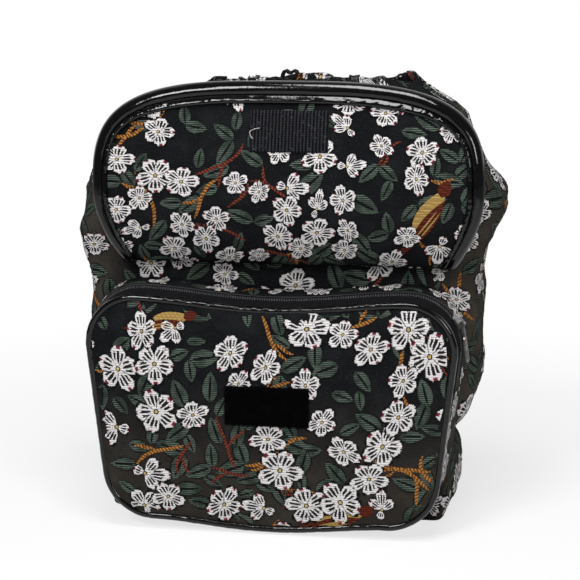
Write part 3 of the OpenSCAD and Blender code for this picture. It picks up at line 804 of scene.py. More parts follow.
def ribbed_cloth(name, base, light, pitch, strength=0.6):
    """Plain black tape or webbing with ribs along its cloth coordinates and painted highlight on their
    crests.
    """
    r = Recipe(name)
    u, v, _ = r.split(r.uv(CLOTH_UV))
    ribs = r.wave(u, pitch)
    weft = r.wave(v, pitch * 0.7)
    height = r.times(ribs, r.math("MULTIPLY_ADD", weft, 0.5, 0.5))
    # Painted highlight on the rib crests; the grooves keep the base colour as painted shade.
    painted_crest_highlight = r.mix(r.between(height, 0.1, 0.8), base, light)
    dust = r.between(r.noise(r.place(), 420.0, 3.0), 0.56, 0.75)
    r.colour(r.mix(dust, painted_crest_highlight, shade(light, 1.7)))
    r.set(Roughness=0.88, Specular_IOR_Level=0.06)
    r.bump(height, strength, 0.0006)
    return r.material


# The second colour of each ribbed cloth below is its painted highlight on the rib crests; its dust is a
# lighter tint of that colour.
def zip_tape():
    return ribbed_cloth("zip_tape", shade(colours().tape, 0.7), (0.0085, 0.0085, 0.0095), 0.0016)


def strap_webbing():
    return ribbed_cloth("strap_webbing", colours().tape, (0.020, 0.020, 0.022), 0.0021, 0.9)


def base_cloth():
    return ribbed_cloth("base_cloth", colours().tape, (0.014, 0.014, 0.015), 0.0026)


def hook_tape():
    return ribbed_cloth("hook_tape", (0.003, 0.003, 0.004), (0.024, 0.025, 0.029), 0.0026, 0.9)


def nylon(name, base, roughness, specular=0.35):
    """Moulded nylon with a faint bloom."""
    r = Recipe(name)
    bloom = r.between(r.noise(r.place(), 150.0, 4.0), 0.45, 0.75)
    r.colour(r.mix(bloom, base, shade(base, 2.0)))
    r.set(Roughness=roughness, Specular_IOR_Level=specular)
    r.bump(r.noise(r.place(), 1800.0, 2.0), 0.15, 0.0003)
    return r.material


def loop_pile():
    return nylon("loop_pile", (0.0018, 0.0018, 0.002), 0.9, 0.02)


def zip_teeth():
    return nylon("zip_teeth", (0.030, 0.030, 0.033), 0.38)


def buckle_nylon():
    return nylon("buckle_nylon", (0.012, 0.012, 0.013), 0.42)


def thread():
    """Black sewing thread."""
    r = Recipe("thread")
    twist = r.noise(r.place(), 2200.0, 1.0)
    r.colour(r.mix(r.between(twist, 0.35, 0.65), (0.010, 0.010, 0.011), (0.035, 0.035, 0.038)))
    r.set(Roughness=0.6, Specular_IOR_Level=0.35)
    return r.material


def stray_thread():
    """A stray end of pale thread."""
    r = Recipe("stray_thread")
    twist = r.between(r.noise(r.place(), 2000.0, 1.0), 0.4, 0.6)
    r.colour(r.mix(twist, (0.30, 0.29, 0.27), (0.46, 0.45, 0.42)))
    r.set(Roughness=0.7)
    return r.material


def lining():
    """Thin plain-weave lining, with painted highlight on its yarn crests."""
    r = Recipe("lining")
    height = yarn_relief(r, 0.0012)[0]
    # Painted highlight: the yarn crests take the lighter grey.
    r.colour(r.mix(r.between(height, 0.2, 0.8), colours().lining, (0.026, 0.026, 0.028)))
    r.set(Roughness=0.8, Specular_IOR_Level=0.25, Sheen_Weight=0.2)
    r.bump(height, 0.4, 0.0004)
    return r.material


def plated_metal():
    """Dark plated die-cast metal, brighter where it is rubbed."""
    c = colours()
    r = Recipe("plated_metal")
    worn = r.between(r.noise(r.place(), 260.0, 5.0, 0.65), 0.42, 0.68)
    r.colour(r.mix(worn, shade(c.metal, 0.45), c.metal))
    r.set(Metallic=1.0, Roughness=0.34)
    r.bump(r.noise(r.place(), 900.0, 2.0), 0.12, 0.0003)
    return r.material


RECIPES = {
    f.__name__: f
    for f in (
        woven_ground, sack_ground, woven_petal, woven_heart, woven_leaf, woven_branch, woven_twig,
        woven_plume, woven_breast, glossy_vinyl, zip_tape, strap_webbing, base_cloth, hook_tape,
        loop_pile, zip_teeth, buckle_nylon, thread, stray_thread, lining, plated_metal,
    )
}


# The bag's own forms, in millimetres

SACK_HALF_DEPTH = 54.0
SEAM_X = 118.3
WALL_TOP = 312.0
COLLAR_RISE = 33.0
MOUTH, MOUTH_SHIFT, RIM_TILT = (84.0, 33.0), 16.0, 6.0
FLAP_ROOT, FLAP_SHOULDER, FLAP_TOP = 205.0, 262.0, 340.5
FLAP_HALF_ROOT, FLAP_HALF, FLAP_SHIFT = 125.0, 145.0, 8.0
FLAP_ROOT_Y, FLAP_BULGE, FLAP_POWER, FLAP_THICK = -58.8, 22.0, 3.3, 5.0
# Share of the flap's edge that is its straight side, below the arch.
FLAP_STRAIGHT = 0.3
POCKET_TOP, POCKET_LOW = 184.0, 9.0
TOP_CENTRE, TOP_R = np.array([104.0, 147.0]), 37.0
LOW_CENTRE, LOW_R = np.array([90.0, 49.0]), 40.0
TOP_SAG, LOW_BOW, POCKET_CROWN = 7.0, 6.0, 7.0
GUSSET_FRONT, GUSSET_REAR, FLARE = -97.2, -54.3, 6.0
PIPING_Y, PIPING_R, PIPING_OUT = -100.3, 2.8, -1.2
FACE_Y, FACE_HALF, FACE_WIDE, FACE_DRAWN = -100.6, 2.0, 141.0, 138.0
ZIP_END = 114.0
COIL_FRONT, COIL_REAR = -79.3, -74.3
RING_X, RING_Z = 102.0, 26.0
WEB_Y, WEB_LONG, WEB_WIDE, WEB_THICK = 60.6, 126.0, 25.0, 1.6
STRAP_LEAN = math.radians(12)
STRAP_TOP_X, STRAP_TOP_Z, STRAP_BOW = 44.0, 302.0, 24.0
STRAP_WIDE, STRAP_WIDER, STRAP_PAD = 34.0, 16.0, 4.0
YOKE_LOW, YOKE_HIGH, YOKE_HALF, YOKE_Y, YOKE_SEAM = 264.0, 308.0, 84.0, 55.0, 5.0
LOOP_X, LOOP_Y, LOOP_HALF, LOOP_FOOT = -9.0, 63.1, 7.0, 286.0
LOOP_SPRING, LOOP_RISE, LOOP_PINCH, LOOP_WIDE, LOOP_THICK = 332.8, 16.0, 4.5, 13.0, 2.4

# Thickness of each cloth, tape and trim, in metres.
SACK_CLOTH, FLAP_CLOTH, POCKET_CLOTH, TOP_CLOTH = 0.0022, 0.0046, 0.0034, 0.0018
BINDING_VINYL, YOKE_VINYL, ZIP_TAPE, PATCH_TAPE = 0.0012, 0.0007, 0.0014, 0.0006


def side_reach(side, z):
    """Distance from the centre plane to a gusset's side at each height."""
    if side > 0:
        swell = 18 * bell(z, 250, 23) - 14 * bell(z, 66, 13)
        drawn = 17 * ramp(WALL_TOP - 47, WALL_TOP + 18, z) + 15 * (1 - ramp(40, 125, z))
    else:
        swell = 9 * bell(z, 222, 28) - 5 * bell(z, 66, 13)
        drawn = 26 * ramp(WALL_TOP - 52, WALL_TOP + 12, z) + 6 * (1 - ramp(36, 66, z))
    return 156 + swell - drawn - 9 * bell(z, 0, 14)


def flap_depth(x, z):
    """Place of the flap's middle sheet from front to back."""
    rise = np.clip((z - FLAP_ROOT) / (FLAP_TOP - FLAP_ROOT), 0, 1)
    across = np.clip((x / FLAP_HALF) ** 2, 0, 1)
    return FLAP_ROOT_Y - FLAP_BULGE * (np.sin(math.pi * rise**0.7) + 0.25 * rise) * (1 - 0.5 * across)


def flap_edge(t, out):
    """Points of the flap's right edge from the crease (t = 0) to the middle of its top (t = 1)."""
    t = np.asarray(t, float)
    low = t < FLAP_STRAIGHT
    turn = math.pi / 2 * np.clip((t - FLAP_STRAIGHT) / (1 - FLAP_STRAIGHT), 0, 1)
    power = 2 / FLAP_POWER
    grow = np.sin(math.pi / 2 * np.clip(t / FLAP_STRAIGHT, 0, 1))
    side_x = FLAP_HALF_ROOT + (FLAP_HALF - FLAP_HALF_ROOT) * grow + out
    side_z = FLAP_ROOT + (FLAP_SHOULDER - FLAP_ROOT) * t / FLAP_STRAIGHT
    arch_x = (FLAP_HALF + out) * np.clip(np.cos(turn), 0, 1) ** power
    arch_z = FLAP_SHOULDER + (FLAP_TOP - FLAP_SHOULDER + out) * np.clip(np.sin(turn), 0, 1) ** power
    return np.where(low, side_x, arch_x), np.where(low, side_z, arch_z)


def flap_front(x, z):
    """Depth of the flap's front face at a place on the bag."""
    return flap_depth(x - FLAP_SHIFT, z) - FLAP_THICK / 2


def side_turn():
    """Angle of the pocket sides' outward normal."""
    line = LOW_CENTRE - TOP_CENTRE
    return math.asin((LOW_R - TOP_R) / np.hypot(*line)) - math.atan2(-line[0], -line[1])


def pocket_runs(out, flare=0.0, arc=40, edge=60):
    """The pocket's outline as two counter-clockwise runs, over the top and round the bottom."""
    psi = side_turn()
    turn = np.linspace(psi, math.pi / 2, arc)
    top = TOP_CENTRE + (TOP_R + out + flare) * np.stack([np.cos(turn), np.sin(turn)], 1)
    turn = np.linspace(-math.pi / 2, psi, arc)
    low = LOW_CENTRE + [0, flare] + (LOW_R + out + flare) * np.stack([np.cos(turn), np.sin(turn)], 1)
    share = (ZIP_END - low[-1, 1]) / (top[0, 1] - low[-1, 1])
    end = low[-1] + (top[0] - low[-1]) * share
    x = np.linspace(TOP_CENTRE[0], -TOP_CENTRE[0], edge)[1:-1]
    over = np.stack([x, POCKET_TOP + out + flare - TOP_SAG * (1 - (x / TOP_CENTRE[0]) ** 2) ** 2], 1)
    x = np.linspace(-LOW_CENTRE[0], LOW_CENTRE[0], edge)[1:-1]
    under = np.stack([x, POCKET_LOW - out - LOW_BOW * (1 - (x / LOW_CENTRE[0]) ** 2) ** 2], 1)
    steps = np.linspace(0, 1, 14)[:, None]
    right_up = np.vstack([(end + (top[0] - end) * steps)[:-1], top])
    right_low = np.vstack([low, (low[-1] + (end - low[-1]) * steps)[1:]])
    flip = np.array([-1, 1])
    upper = np.vstack([right_up, over, (right_up * flip)[::-1]])
    lower = np.vstack([(right_low * flip)[::-1], under, right_low])
    return upper, lower


def face_depth(x, z):
    """Place of the pocket face's middle sheet from front to back."""
    middle, half = (POCKET_TOP + POCKET_LOW) / 2, (POCKET_TOP - POCKET_LOW) / 2
    across, up = np.clip(1 - (x / FACE_WIDE) ** 2, 0, 1), np.clip(1 - ((z - middle) / half) ** 2, 0, 1)
    return FACE_Y - POCKET_CROWN * across * up


def flare_at(y):
    """How far the pocket's side wall stands out at a depth."""
    return FLARE * (y - GUSSET_FRONT) / (GUSSET_REAR - GUSSET_FRONT)


def cut_flat(obj, coords, held, *rests_on):
    """Measures how wide and high a piece's cloth coordinates reach, and does nothing with it."""
    coords = np.asarray(coords)
    width, high = np.ptp(coords[..., 0]), np.ptp(coords[..., 1])


def lined_cloth(name, sheet, ground, base, thick, nodes, held, rests_on, **grid):
    """A piece of lined cloth, with its outer face kept for the pattern."""
    points, coords = sheet
    cloth = grid_object(name, points, coords, **grid)
    paint(cloth, finish(ground), finish("lining"))
    keep_base(base, cloth)
    thicken(cloth, thick, rim=1)
    settle(cloth, "cloth", *nodes)
    cut_flat(cloth, coords, held, *rests_on)


def trim_piece(name, sheet, material, thick, slot, node, **grid):
    """A piece of tape or vinyl in place of its node."""
    piece = grid_object(name, *sheet, **grid)
    paint(piece, finish(material))
    thicken(piece, thick)
    settle(piece, slot, node)


def closed_band(name, sheet, material):
    """A closed tube of cloth or webbing with both ends shut."""
    points, coords = sheet
    band = cap_ends(grid_object(name, points, coords, loop_cols=True), points.shape[1])
    paint(band, finish(material))
    return band


# Sack


def gusset_line(side, z, count):
    """One level of a gusset from its front seam to its back seam, evenly spaced."""
    turn = np.radians(np.linspace(-90, 90, 241))
    reach = side_reach(side, z)
    x = SEAM_X + (reach - SEAM_X) * np.clip(np.cos(turn), 0, 1) ** 0.4
    y = SACK_HALF_DEPTH * signed_pow(np.sin(turn), 0.6)
    return even_line(np.stack([side * x, y], 1), count)


def sack_section(z, wide, deep):
    """One level of the whole sack, from the front right seam round."""
    right = gusset_line(1, z, deep + 1)
    left = gusset_line(-1, z, deep + 1)[::-1]
    back = np.stack([np.linspace(SEAM_X, -SEAM_X, wide + 1), np.full(wide + 1, SACK_HALF_DEPTH)], 1)
    front = np.stack([np.linspace(-SEAM_X, SEAM_X, wide + 1), np.full(wide + 1, -SACK_HALF_DEPTH)], 1)
    return np.vstack([right[:-1], back[:-1], left[:-1], front[:-1]])


def sack_sheet():
    """The sack's outer face: walls that slump and swell, then the gathered collar."""
    s = sizes()
    wide, deep = 92, 56
    collar = WALL_TOP + COLLAR_RISE * np.linspace(0, 1, 19)[1:]
    levels = np.concatenate([np.linspace(1.5, WALL_TOP, 106), collar])
    count = 2 * (wide + deep)
    column = np.arange(count)
    on_right = column < deep
    on_left = (column >= deep + wide) & (column < 2 * deep + wide)
    share = np.where(on_right, column / deep, np.where(on_left, (column - deep - wide) / deep, 0.0))
    window = np.where(on_right | on_left, np.clip(np.sin(math.pi * share), 0, 1) ** 0.6, 0.0)
    mean = sack_section(150.0, wide, deep)
    q = run_along(np.vstack([mean, mean[:1]]))[:-1]
    points, coords = [], []
    for z in levels:
        wall_z = min(z, WALL_TOP)
        line = sack_section(wall_z, wide, deep)
        tangent = loop_tangent(line)
        normal = unit(np.stack([tangent[:, 1], -tangent[:, 0]], 1))
        rise = (z - wall_z) / COLLAR_RISE
        lean = ripple(q / 70, np.full(count, z) / 90, 11, 2)
        drape = 1 - np.abs(np.sin(math.pi * (z / 62 + 0.9 * share + 0.9 * lean)))
        crumple = 1 - np.abs(ripple(q / 34, np.full(count, z) / 46, 23, 3)) * 2.2
        slump = s.crumple / MM * window * (0.55 * (drape**1.5 - 0.4) + 0.75 * (crumple - 0.35))
        slump = slump * ramp(0, 30, z) * (1 - 0.6 * rise)
        flat_pull = np.where(window == 0, 1.0, 0.0) * 0.7 * ripple(q / 60, np.full(count, z) / 60, 5, 2)
        shift = slump + np.where(line[:, 1] < 0, flat_pull * 0.6, -np.abs(flat_pull))
        moved = line + normal * shift[:, None]
        height = np.full(count, z)
        if rise > 0:
            turn = np.arctan2(line[:, 1] / 108, line[:, 0] / 312)
            rim_x = MOUTH_SHIFT + MOUTH[0] * signed_pow(np.cos(turn), 0.8)
            rim = np.stack([rim_x, MOUTH[1] * signed_pow(np.sin(turn), 0.8)], 1)
            moved = moved + (rim - line) * ramp(0, 1.1, rise)
            radius = np.linalg.norm(moved, axis=1)
            waver = 2.2 * ripple(column / 16, 0 * column, 41, 2)
            fold = 0.62 * np.cos(math.tau * 30 * column / count + waver)
            fold = fold + 0.5 * np.cos(math.tau * 13 * column / count + 1.1)
            pull = s.gather / MM * ramp(0.0, 0.75, rise) * fold
            moved = moved * (1 + pull / radius)[:, None]
            wave = RIM_TILT * np.cos(turn) + 2.6 * rise * (np.sin(3 * turn + 0.7) + 0.6 * np.sin(5 * turn))
            wave = wave + 2.4 * ripple(column / 9, 0 * column, 47, 2) - 7.0 * bell(turn, 0.0, 0.9)
            height = height + rise * wave
        points.append(np.column_stack([moved, height]))
        coords.append(np.column_stack([q * MM, np.full(count, z * MM)]))
    return turned_hem(points, coords)


def turned_hem(points, coords):
    """Turns the rim's cloth over and down inside the collar."""
    top = coords[-1][0, 1]
    outer = list(zip(points, points[4:], coords[4:]))
    for k, (below, row, flat) in enumerate(outer[:-18:-1]):
        up = sum(np.roll(row - below, turn, 0) for turn in range(-7, 8))
        inward = unit(np.cross(up, loop_tangent(row, 7)))
        points.append(row + inward * (5.2 if k else 2.0) + [0, 0, 0 if k else 1.0])
        coords.append(np.column_stack([flat[:, 0], 2 * top - flat[:, 1] + 0.003]))
    return np.array(points), np.array(coords)


def base_sheet():
    """The stiffened base as a rounded plate just inside the sack's lower edge."""
    line = sack_section(3.0, 40, 30)
    tangent = loop_tangent(line)
    line = line + 2.5 * unit(np.stack([-tangent[:, 1], tangent[:, 0]], 1))
    rows = []
    for share, z in (
        (0.02, 0.3), (0.3, 0.3), (0.6, 0.3), (0.85, 0.3), (0.975, 0.35), (0.995, 0.8),
        (1.0, 1.5), (0.995, 2.3), (0.97, 2.8), (0.85, 2.9), (0.6, 2.9), (0.3, 2.9), (0.02, 2.9),
    ):
        rows.append(np.column_stack([line * share, np.full(len(line), z)]))
    points = np.array(rows)
    return points, points[..., :2] * MM


class BACKPACK_OT_sack(bpy.types.Operator):
    """Makes the slumped sack with its gathered rim, and the stiffened base"""

    bl_idname = "backpack.sack"
    bl_label = "Sack"

    def execute(self, context):
        panels = ("front_panel", "back_panel", "left_gusset", "right_gusset", "gathered_collar")
        lined_cloth(
            "sack_cloth", sack_sheet(), "sack_ground", "sack", SACK_CLOTH, panels,
            "gathered", ["stiffened_base"], loop_cols=True,
        )
        settle(closed_band("stiffened_base", base_sheet(), "base_cloth"), "base", "base_panel")
        return {"FINISHED"}


# Flap


def flap_sheet():
    """The flap's front face with shallow ripples along its binding."""
    s = sizes()
    t = np.linspace(0, 0.962, 74)
    ex, ez = flap_edge(t, 0.0)
    across = np.linspace(-1, 1, 121)
    x = ex[:, None] * across
    z = np.repeat(ez[:, None], 121, 1)
    edge = np.abs(across) ** 6
    pull = s.pucker / MM * (0.9 * ripple(x / 42, z / 30, 61, 3) + 0.9 * edge * ripple(z / 9, x / 60, 67, 2))
    y = flap_depth(x, z) - FLAP_THICK / 2 - pull
    x = x + FLAP_SHIFT
    points = np.stack([x, y, z], 2)
    rise = run_along(points[:, 60])
    coords = np.stack([x * MM, np.repeat(rise[:, None] * MM, 121, 1)], 2)
    return points, coords


# The binding's section: how far out, as a share of its lip, and how far back from the flap's middle.
BINDING_SECTION = [
    (-1.00, -2.55), (-1.00, -3.8), (-0.93, -4.8), (-0.80, -4.5), (-0.62, -3.7), (-0.46, -2.6),
    (-0.36, -4.2), (-0.10, -5.3), (0.16, -4.6), (0.34, -2.6), (0.42, 0.2), (0.30, 3.0),
    (0.05, 4.3), (-0.35, 4.5), (-0.8, 4.3), (-0.97, 3.4), (-1.00, 2.55),
]
# Places in that section of its stitched groove, and its reach past the flap's edge in millimetres.
BINDING_GROOVE, BINDING_REACH = -0.46, 10.4
BINDING_RINGS, BINDING_POINTS = 330, 34


def binding_sheet():
    """The binding's outer face: a rounded wrap round the flap's edge, grooved and wrinkled."""
    s = sizes()
    section = smooth_profile(BINDING_SECTION, BINDING_POINTS)
    half = np.linspace(0, 1, BINDING_RINGS)
    side = np.concatenate([half, half[-2::-1]])
    sign = np.concatenate([np.ones(BINDING_RINGS), -np.ones(BINDING_RINGS - 1)])
    rows = len(side)
    run = np.linspace(0, 700, rows)
    lip = s.binding_lip / MM * (0.62 + 0.46 * ramp(0.42, 0.85, side))
    points = np.zeros((rows, BINDING_POINTS, 3))
    for k, (out, w) in enumerate(section):
        o = out * lip if out < 0 else out * BINDING_REACH
        x, z = flap_edge(side, o)
        near = bell(out, -0.8, 0.28) * (1.0 if w < 0 else 0.5)
        body = bell(out, -0.2, 0.5) * (1.0 if w < 0 else 0.5)
        fine = ripple(run / 8.5, np.full(rows, out * 2.2 + (9 if w > 0 else 0)), 71, 3)
        slow = ripple(run / 26, np.full(rows, out * 1.5 + (9 if w > 0 else 0)), 73, 2)
        dent = s.wrinkle / MM * (1.05 * near * fine + 0.60 * body * slow)
        y = flap_depth(sign * x, z) + w + (dent if w < 0 else -dent)
        points[:, k] = np.stack([sign * x + FLAP_SHIFT, y, z], 1)
    return points, cloth_grid(run, np.linspace(0, 30, BINDING_POINTS)), lip


# Radius of the sewing thread, in metres.
THREAD_R = 0.00042


def thread_item():
    """One stitch: a short capsule along its own Z."""
    s = sizes()
    turn = np.linspace(0, math.tau, 6, endpoint=False)
    levels = [(-0.5, 0.05), (-0.36, 0.7), (0.0, 1.0), (0.36, 0.7), (0.5, 0.05)]
    points = [
        [THREAD_R * r * math.cos(a), THREAD_R * r * math.sin(a), s.stitch * h]
        for h, r in levels
        for a in turn
    ]
    return make_object("stitch_item", points, grid_faces(5, 6, loop_cols=True)[:, ::-1])


def path_object(name, points):
    """A chain of edges through points in millimetres."""
    mesh = bpy.data.meshes.new(name)
    edges = [(i, i + 1) for i in range(len(points) - 1)]
    mesh.from_pydata((np.asarray(points, float) * MM).tolist(), edges, [])
    obj = bpy.data.objects.new(name, mesh)
    bpy.context.scene.collection.objects.link(obj)
    return obj


def along_path(name, line, item, spacing, material):
    """Copies of an item along a line in millimetres."""
    path = path_object(name, line)
    return run_tree(path, "path", Item=item, Spacing=spacing, Finish=finish(material))


def sew(name, lines, slot="vinyl"):
    """Rows of stitches along lines in millimetres."""
    item, pitch = thread_item(), sizes().stitch_pitch
    rows = [along_path(f"{name}_{k}", line, item, pitch, "thread") for k, line in enumerate(lines)]
    discard(item)
    return settle(join_meshes(name, rows), slot)


class BACKPACK_OT_flap(bpy.types.Operator):
    """Makes the flap, its glossy binding and the binding's stitches"""

    bl_idname = "backpack.flap"
    bl_label = "Flap"

    def execute(self, context):
        lined_cloth(
            "flap_cloth", flap_sheet(), "woven_ground", "flap", FLAP_CLOTH, ["flap"],
            "stretched", ["sack_cloth", "flap_binding_wrap"],
        )
        *wrap, lip = binding_sheet()
        trim_piece(
            "flap_binding_wrap", wrap, "glossy_vinyl", BINDING_VINYL, "vinyl", "flap_binding", flip=True
        )
        side = np.concatenate([np.linspace(0.01, 1, 200), np.linspace(1, 0.01, 200)[1:]])
        sign = np.concatenate([np.ones(200), -np.ones(199)])
        over = np.interp(side, np.linspace(0, 1, BINDING_RINGS), lip[:BINDING_RINGS])
        x, z = flap_edge(side, BINDING_GROOVE * over)
        seam = np.stack([sign * x + FLAP_SHIFT, flap_depth(x, z) - 3.1, z], 1)
        sew("binding_stitches", [seam])
        return {"FINISHED"}


# Pocket


def pocket_sheet():
    """The pocket's crowned face, drawn in a little beside its piping."""
    s = sizes()
    out = PIPING_OUT - PIPING_R + 1.2
    upper, lower = pocket_runs(out, arc=30, edge=80)
    high = upper[13:-13][::-1]
    low = lower[13:-13]
    t = np.linspace(0, 1, 90)[None, :, None]
    flat = low[:, None] + (high - low)[:, None] * t
    x, z = flat[..., 0], flat[..., 1]
    pull = s.pucker / MM * (1.1 * ripple(x / 55, z / 42, 83, 3))
    ends = np.minimum(t[..., 0], 1 - t[..., 0]) * (POCKET_TOP - POCKET_LOW)
    sides = np.minimum(x + FACE_DRAWN, FACE_DRAWN - x)
    inner = np.clip(np.minimum(ends, sides) / 14, 0, 1)
    y = face_depth(x, z) - FACE_HALF - 1.6 * inner**0.5 + 1.4 - pull * inner
    points = np.stack([x, y, z], 2)
    return points, np.stack([x, z], 2) * MM


def sack_face(x, z):
    """Depth of the sack's front at a place, round to its sides."""
    reach = np.where(x > 0, side_reach(1, z), side_reach(-1, z))
    share = np.clip((np.abs(x) - SEAM_X) / (reach - SEAM_X), 0, 0.93)
    return -SACK_HALF_DEPTH * (1 - share**5) ** 0.3


def strip_sheet(upper, y0, y1, cols, out=0.0, sag=0.0, seed=0):
    """A strip of the pocket's side wall from one depth to another, or with no second depth to the sack."""
    run_of = 0 if upper else 1
    last = GUSSET_REAR if y1 is None else y1
    near, far = (pocket_runs(out, flare_at(y))[run_of] for y in (y0, last))
    rear = sack_face(far[:, 0], far[:, 1]) - 0.3 if y1 is None else np.full(len(far), y1)
    t = np.linspace(0, 1, cols)
    depth = y0 + (rear[:, None] - y0) * t
    spread = np.clip((depth - y0) / (last - y0), 0, 1)[..., None]
    flat = near[:, None] + (far - near)[:, None] * spread
    run = run_along(near)
    tangent = np.gradient(flat, axis=0)
    normal = unit(np.stack([tangent[..., 1], -tangent[..., 0]], 2), 1e-9)
    dip = sag * np.sin(math.pi * t)[None] * (ripple(run / 30, 0 * run, seed, 3)[:, None] - 0.2)
    flat = flat + normal * dip[..., None]
    points = np.stack([flat[..., 0], depth, flat[..., 1]], 2)
    return points, cloth_grid(run, (last - y0) * t)


def tube_sheet(path, normal, radius, around=14, wrinkle=0.0, seed=0):
    """A closed tube in the XZ plane's loop, with small wrinkles."""
    turn = np.linspace(0, math.tau, around, endpoint=False)
    run = run_along(path)
    r = radius + wrinkle * ripple(run[:, None] / 4.5, turn[None] * 1.2 + 0 * run[:, None], seed, 2)
    c, s = np.cos(turn)[None, :, None], np.sin(turn)[None, :, None]
    points = path[:, None] + r[..., None] * (c * normal[:, None] + s * np.array([0, 1, 0]))
    return points, cloth_grid(run, turn * radius)


class BACKPACK_OT_pocket(bpy.types.Operator):
    """Makes the pocket's face, piping and lower gusset"""

    bl_idname = "backpack.pocket"
    bl_label = "Pocket"

    def execute(self, context):
        lined_cloth(
            "pocket_cloth", pocket_sheet(), "woven_ground", "pocket", POCKET_CLOTH, ["pocket_face_panel"],
            "stretched", ["pocket_piping_cord"], flip=True,
        )
        side = strip_sheet(False, GUSSET_FRONT, None, 26, sag=1.5, seed=91)
        lined_cloth(
            "pocket_side_cloth", side, "sack_ground", "gusset", SACK_CLOTH, ["pocket_gusset"],
            "stretched", ["pocket_piping_cord", "sack_cloth"],
        )
        upper, lower = pocket_runs(PIPING_OUT, arc=60, edge=120)
        loop = even_line(np.vstack([upper, lower[1:]]), 720)[:-1]
        tangent = loop_tangent(loop)
        normal = unit(np.stack([tangent[:, 1], 0 * tangent[:, 0], -tangent[:, 0]], 1))
        path = np.stack([loop[:, 0], np.full(len(loop), PIPING_Y), loop[:, 1]], 1)
        points, coords = tube_sheet(path, normal, PIPING_R, wrinkle=0.22, seed=97)
        piping = grid_object("pocket_piping_cord", points, coords, loop_rows=True, loop_cols=True, flip=True)
        paint(piping, finish("glossy_vinyl"))
        settle(piping, "vinyl", "pocket_piping")
        return {"FINISHED"}


# Zip


def tooth_item(width):
    """One tooth: a rounded bar across the zip, along its own X."""
    turn = np.linspace(0, math.tau, 8, endpoint=False)
    levels = [(-0.5, 0.35), (-0.42, 1.0), (0.42, 1.0), (0.5, 0.35)]
    high, long = 0.0011, 0.00062
    points = [[width * h, high * r * math.sin(a), long * r * math.cos(a)] for h, r in levels for a in turn]
    faces = [list(f) for f in grid_faces(4, 8, loop_cols=True)]
    faces += [list(range(7, -1, -1)), list(range(24, 32))]
    return make_object("tooth_item", points, faces)


class BACKPACK_OT_zip(bpy.types.Operator):
    """Makes the zip's tapes and teeth, and finishes its slider, pull and stops"""

    bl_idname = "backpack.zip"
    bl_label = "Zip"

    def execute(self, context):
        for name, y0, y1, cols, node in (
            ("zip_front_tape", GUSSET_FRONT, COIL_FRONT + 1.2, 18, "zip_tape_front"),
            ("zip_rear_tape", COIL_REAR - 1.2, COIL_REAR + 4.5, 8, "zip_tape_rear"),
        ):
            tape = strip_sheet(True, y0, y1, cols, sag=0.5, seed=103)
            trim_piece(name, tape, "zip_tape", ZIP_TAPE, "zip_tape", node)
        strip = strip_sheet(True, COIL_REAR + 3.2, None, 14, out=0.6, sag=0.8, seed=107)
        lined_cloth(
            "pocket_top_cloth", strip, "sack_ground", "top_strip", TOP_CLOTH, [],
            "stretched", ["zip_rear_tape", "sack_cloth"],
        )
        item = tooth_item(0.0026)
        for name, y, node, shift in (
            ("zip_front_teeth", COIL_FRONT + 1.25, "zip_coil_front", 0.0),
            ("zip_rear_teeth", COIL_REAR - 1.25, "zip_coil_rear", 0.9),
        ):
            line = pocket_runs(-0.5, flare_at(y), arc=80, edge=160)[0]
            path = np.stack([line[:, 0], np.full(len(line), y), line[:, 1]], 1)
            path[0, 2] += shift
            settle(along_path(name, path, item, sizes().tooth_pitch, "zip_teeth"), "zip_coil", node)
        discard(item)
        for node in ("zip_slider", "zip_pull", "zip_stops"):
            paint(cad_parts[node], finish("plated_metal"))
        return {"FINISHED"}


# Fastening patches


# Loops of pile on one square metre.
NAP_DENSITY = 2600000.0


def fibre_item():
    """One loop of pile: a thin bent blade."""
    points, turn = [], np.linspace(0, math.pi, 5)
    for a in turn:
        for w in (-0.00011, 0.00011):
            points.append([0.00055 * math.cos(a), w, 0.0011 * math.sin(a)])
    return make_object("fibre_item", points, grid_faces(5, 2))


# Distance from one rib of the hook tape to the next.
RIB_PITCH = 2.6


def patch_place(node):
    """Centre and size of a patch, across and up, in millimetres."""
    low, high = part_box(node)
    centre = ((low.x + high.x) / 2 / MM, (low.z + high.z) / 2 / MM)
    return centre, ((high.x - low.x) / MM, (high.z - low.z) / MM)


def patch_sheet(depth, centre, size, ribs=0.0):
    """A tape patch that follows the cloth under it. Ribs stand up in columns."""
    rows, cols = 44, 132
    z = np.linspace(-0.5, 0.5, rows)[:, None] * size[1] + centre[1]
    x = np.linspace(-0.5, 0.5, cols)[None] * size[0] + centre[0]
    x, z = x + 0 * z, z + 0 * x
    column = np.sin(math.tau * x / RIB_PITCH)
    broken = ripple(np.floor(x / RIB_PITCH) * 3.1, z / 3.4, 113, 2)
    rise = ribs * np.clip(column, 0, 1) * np.clip(0.55 + 0.9 * broken, 0.08, 1)
    edge = room_to_edge(x, z)
    lift = 1.2 * ramp(-0.1, 1.0, edge) + rise * ramp(0.6, 2.2, edge)
    points = np.stack([x, depth(x, z) - 0.25 - lift, z], 2)
    return points, np.stack([x, z], 2) * MM


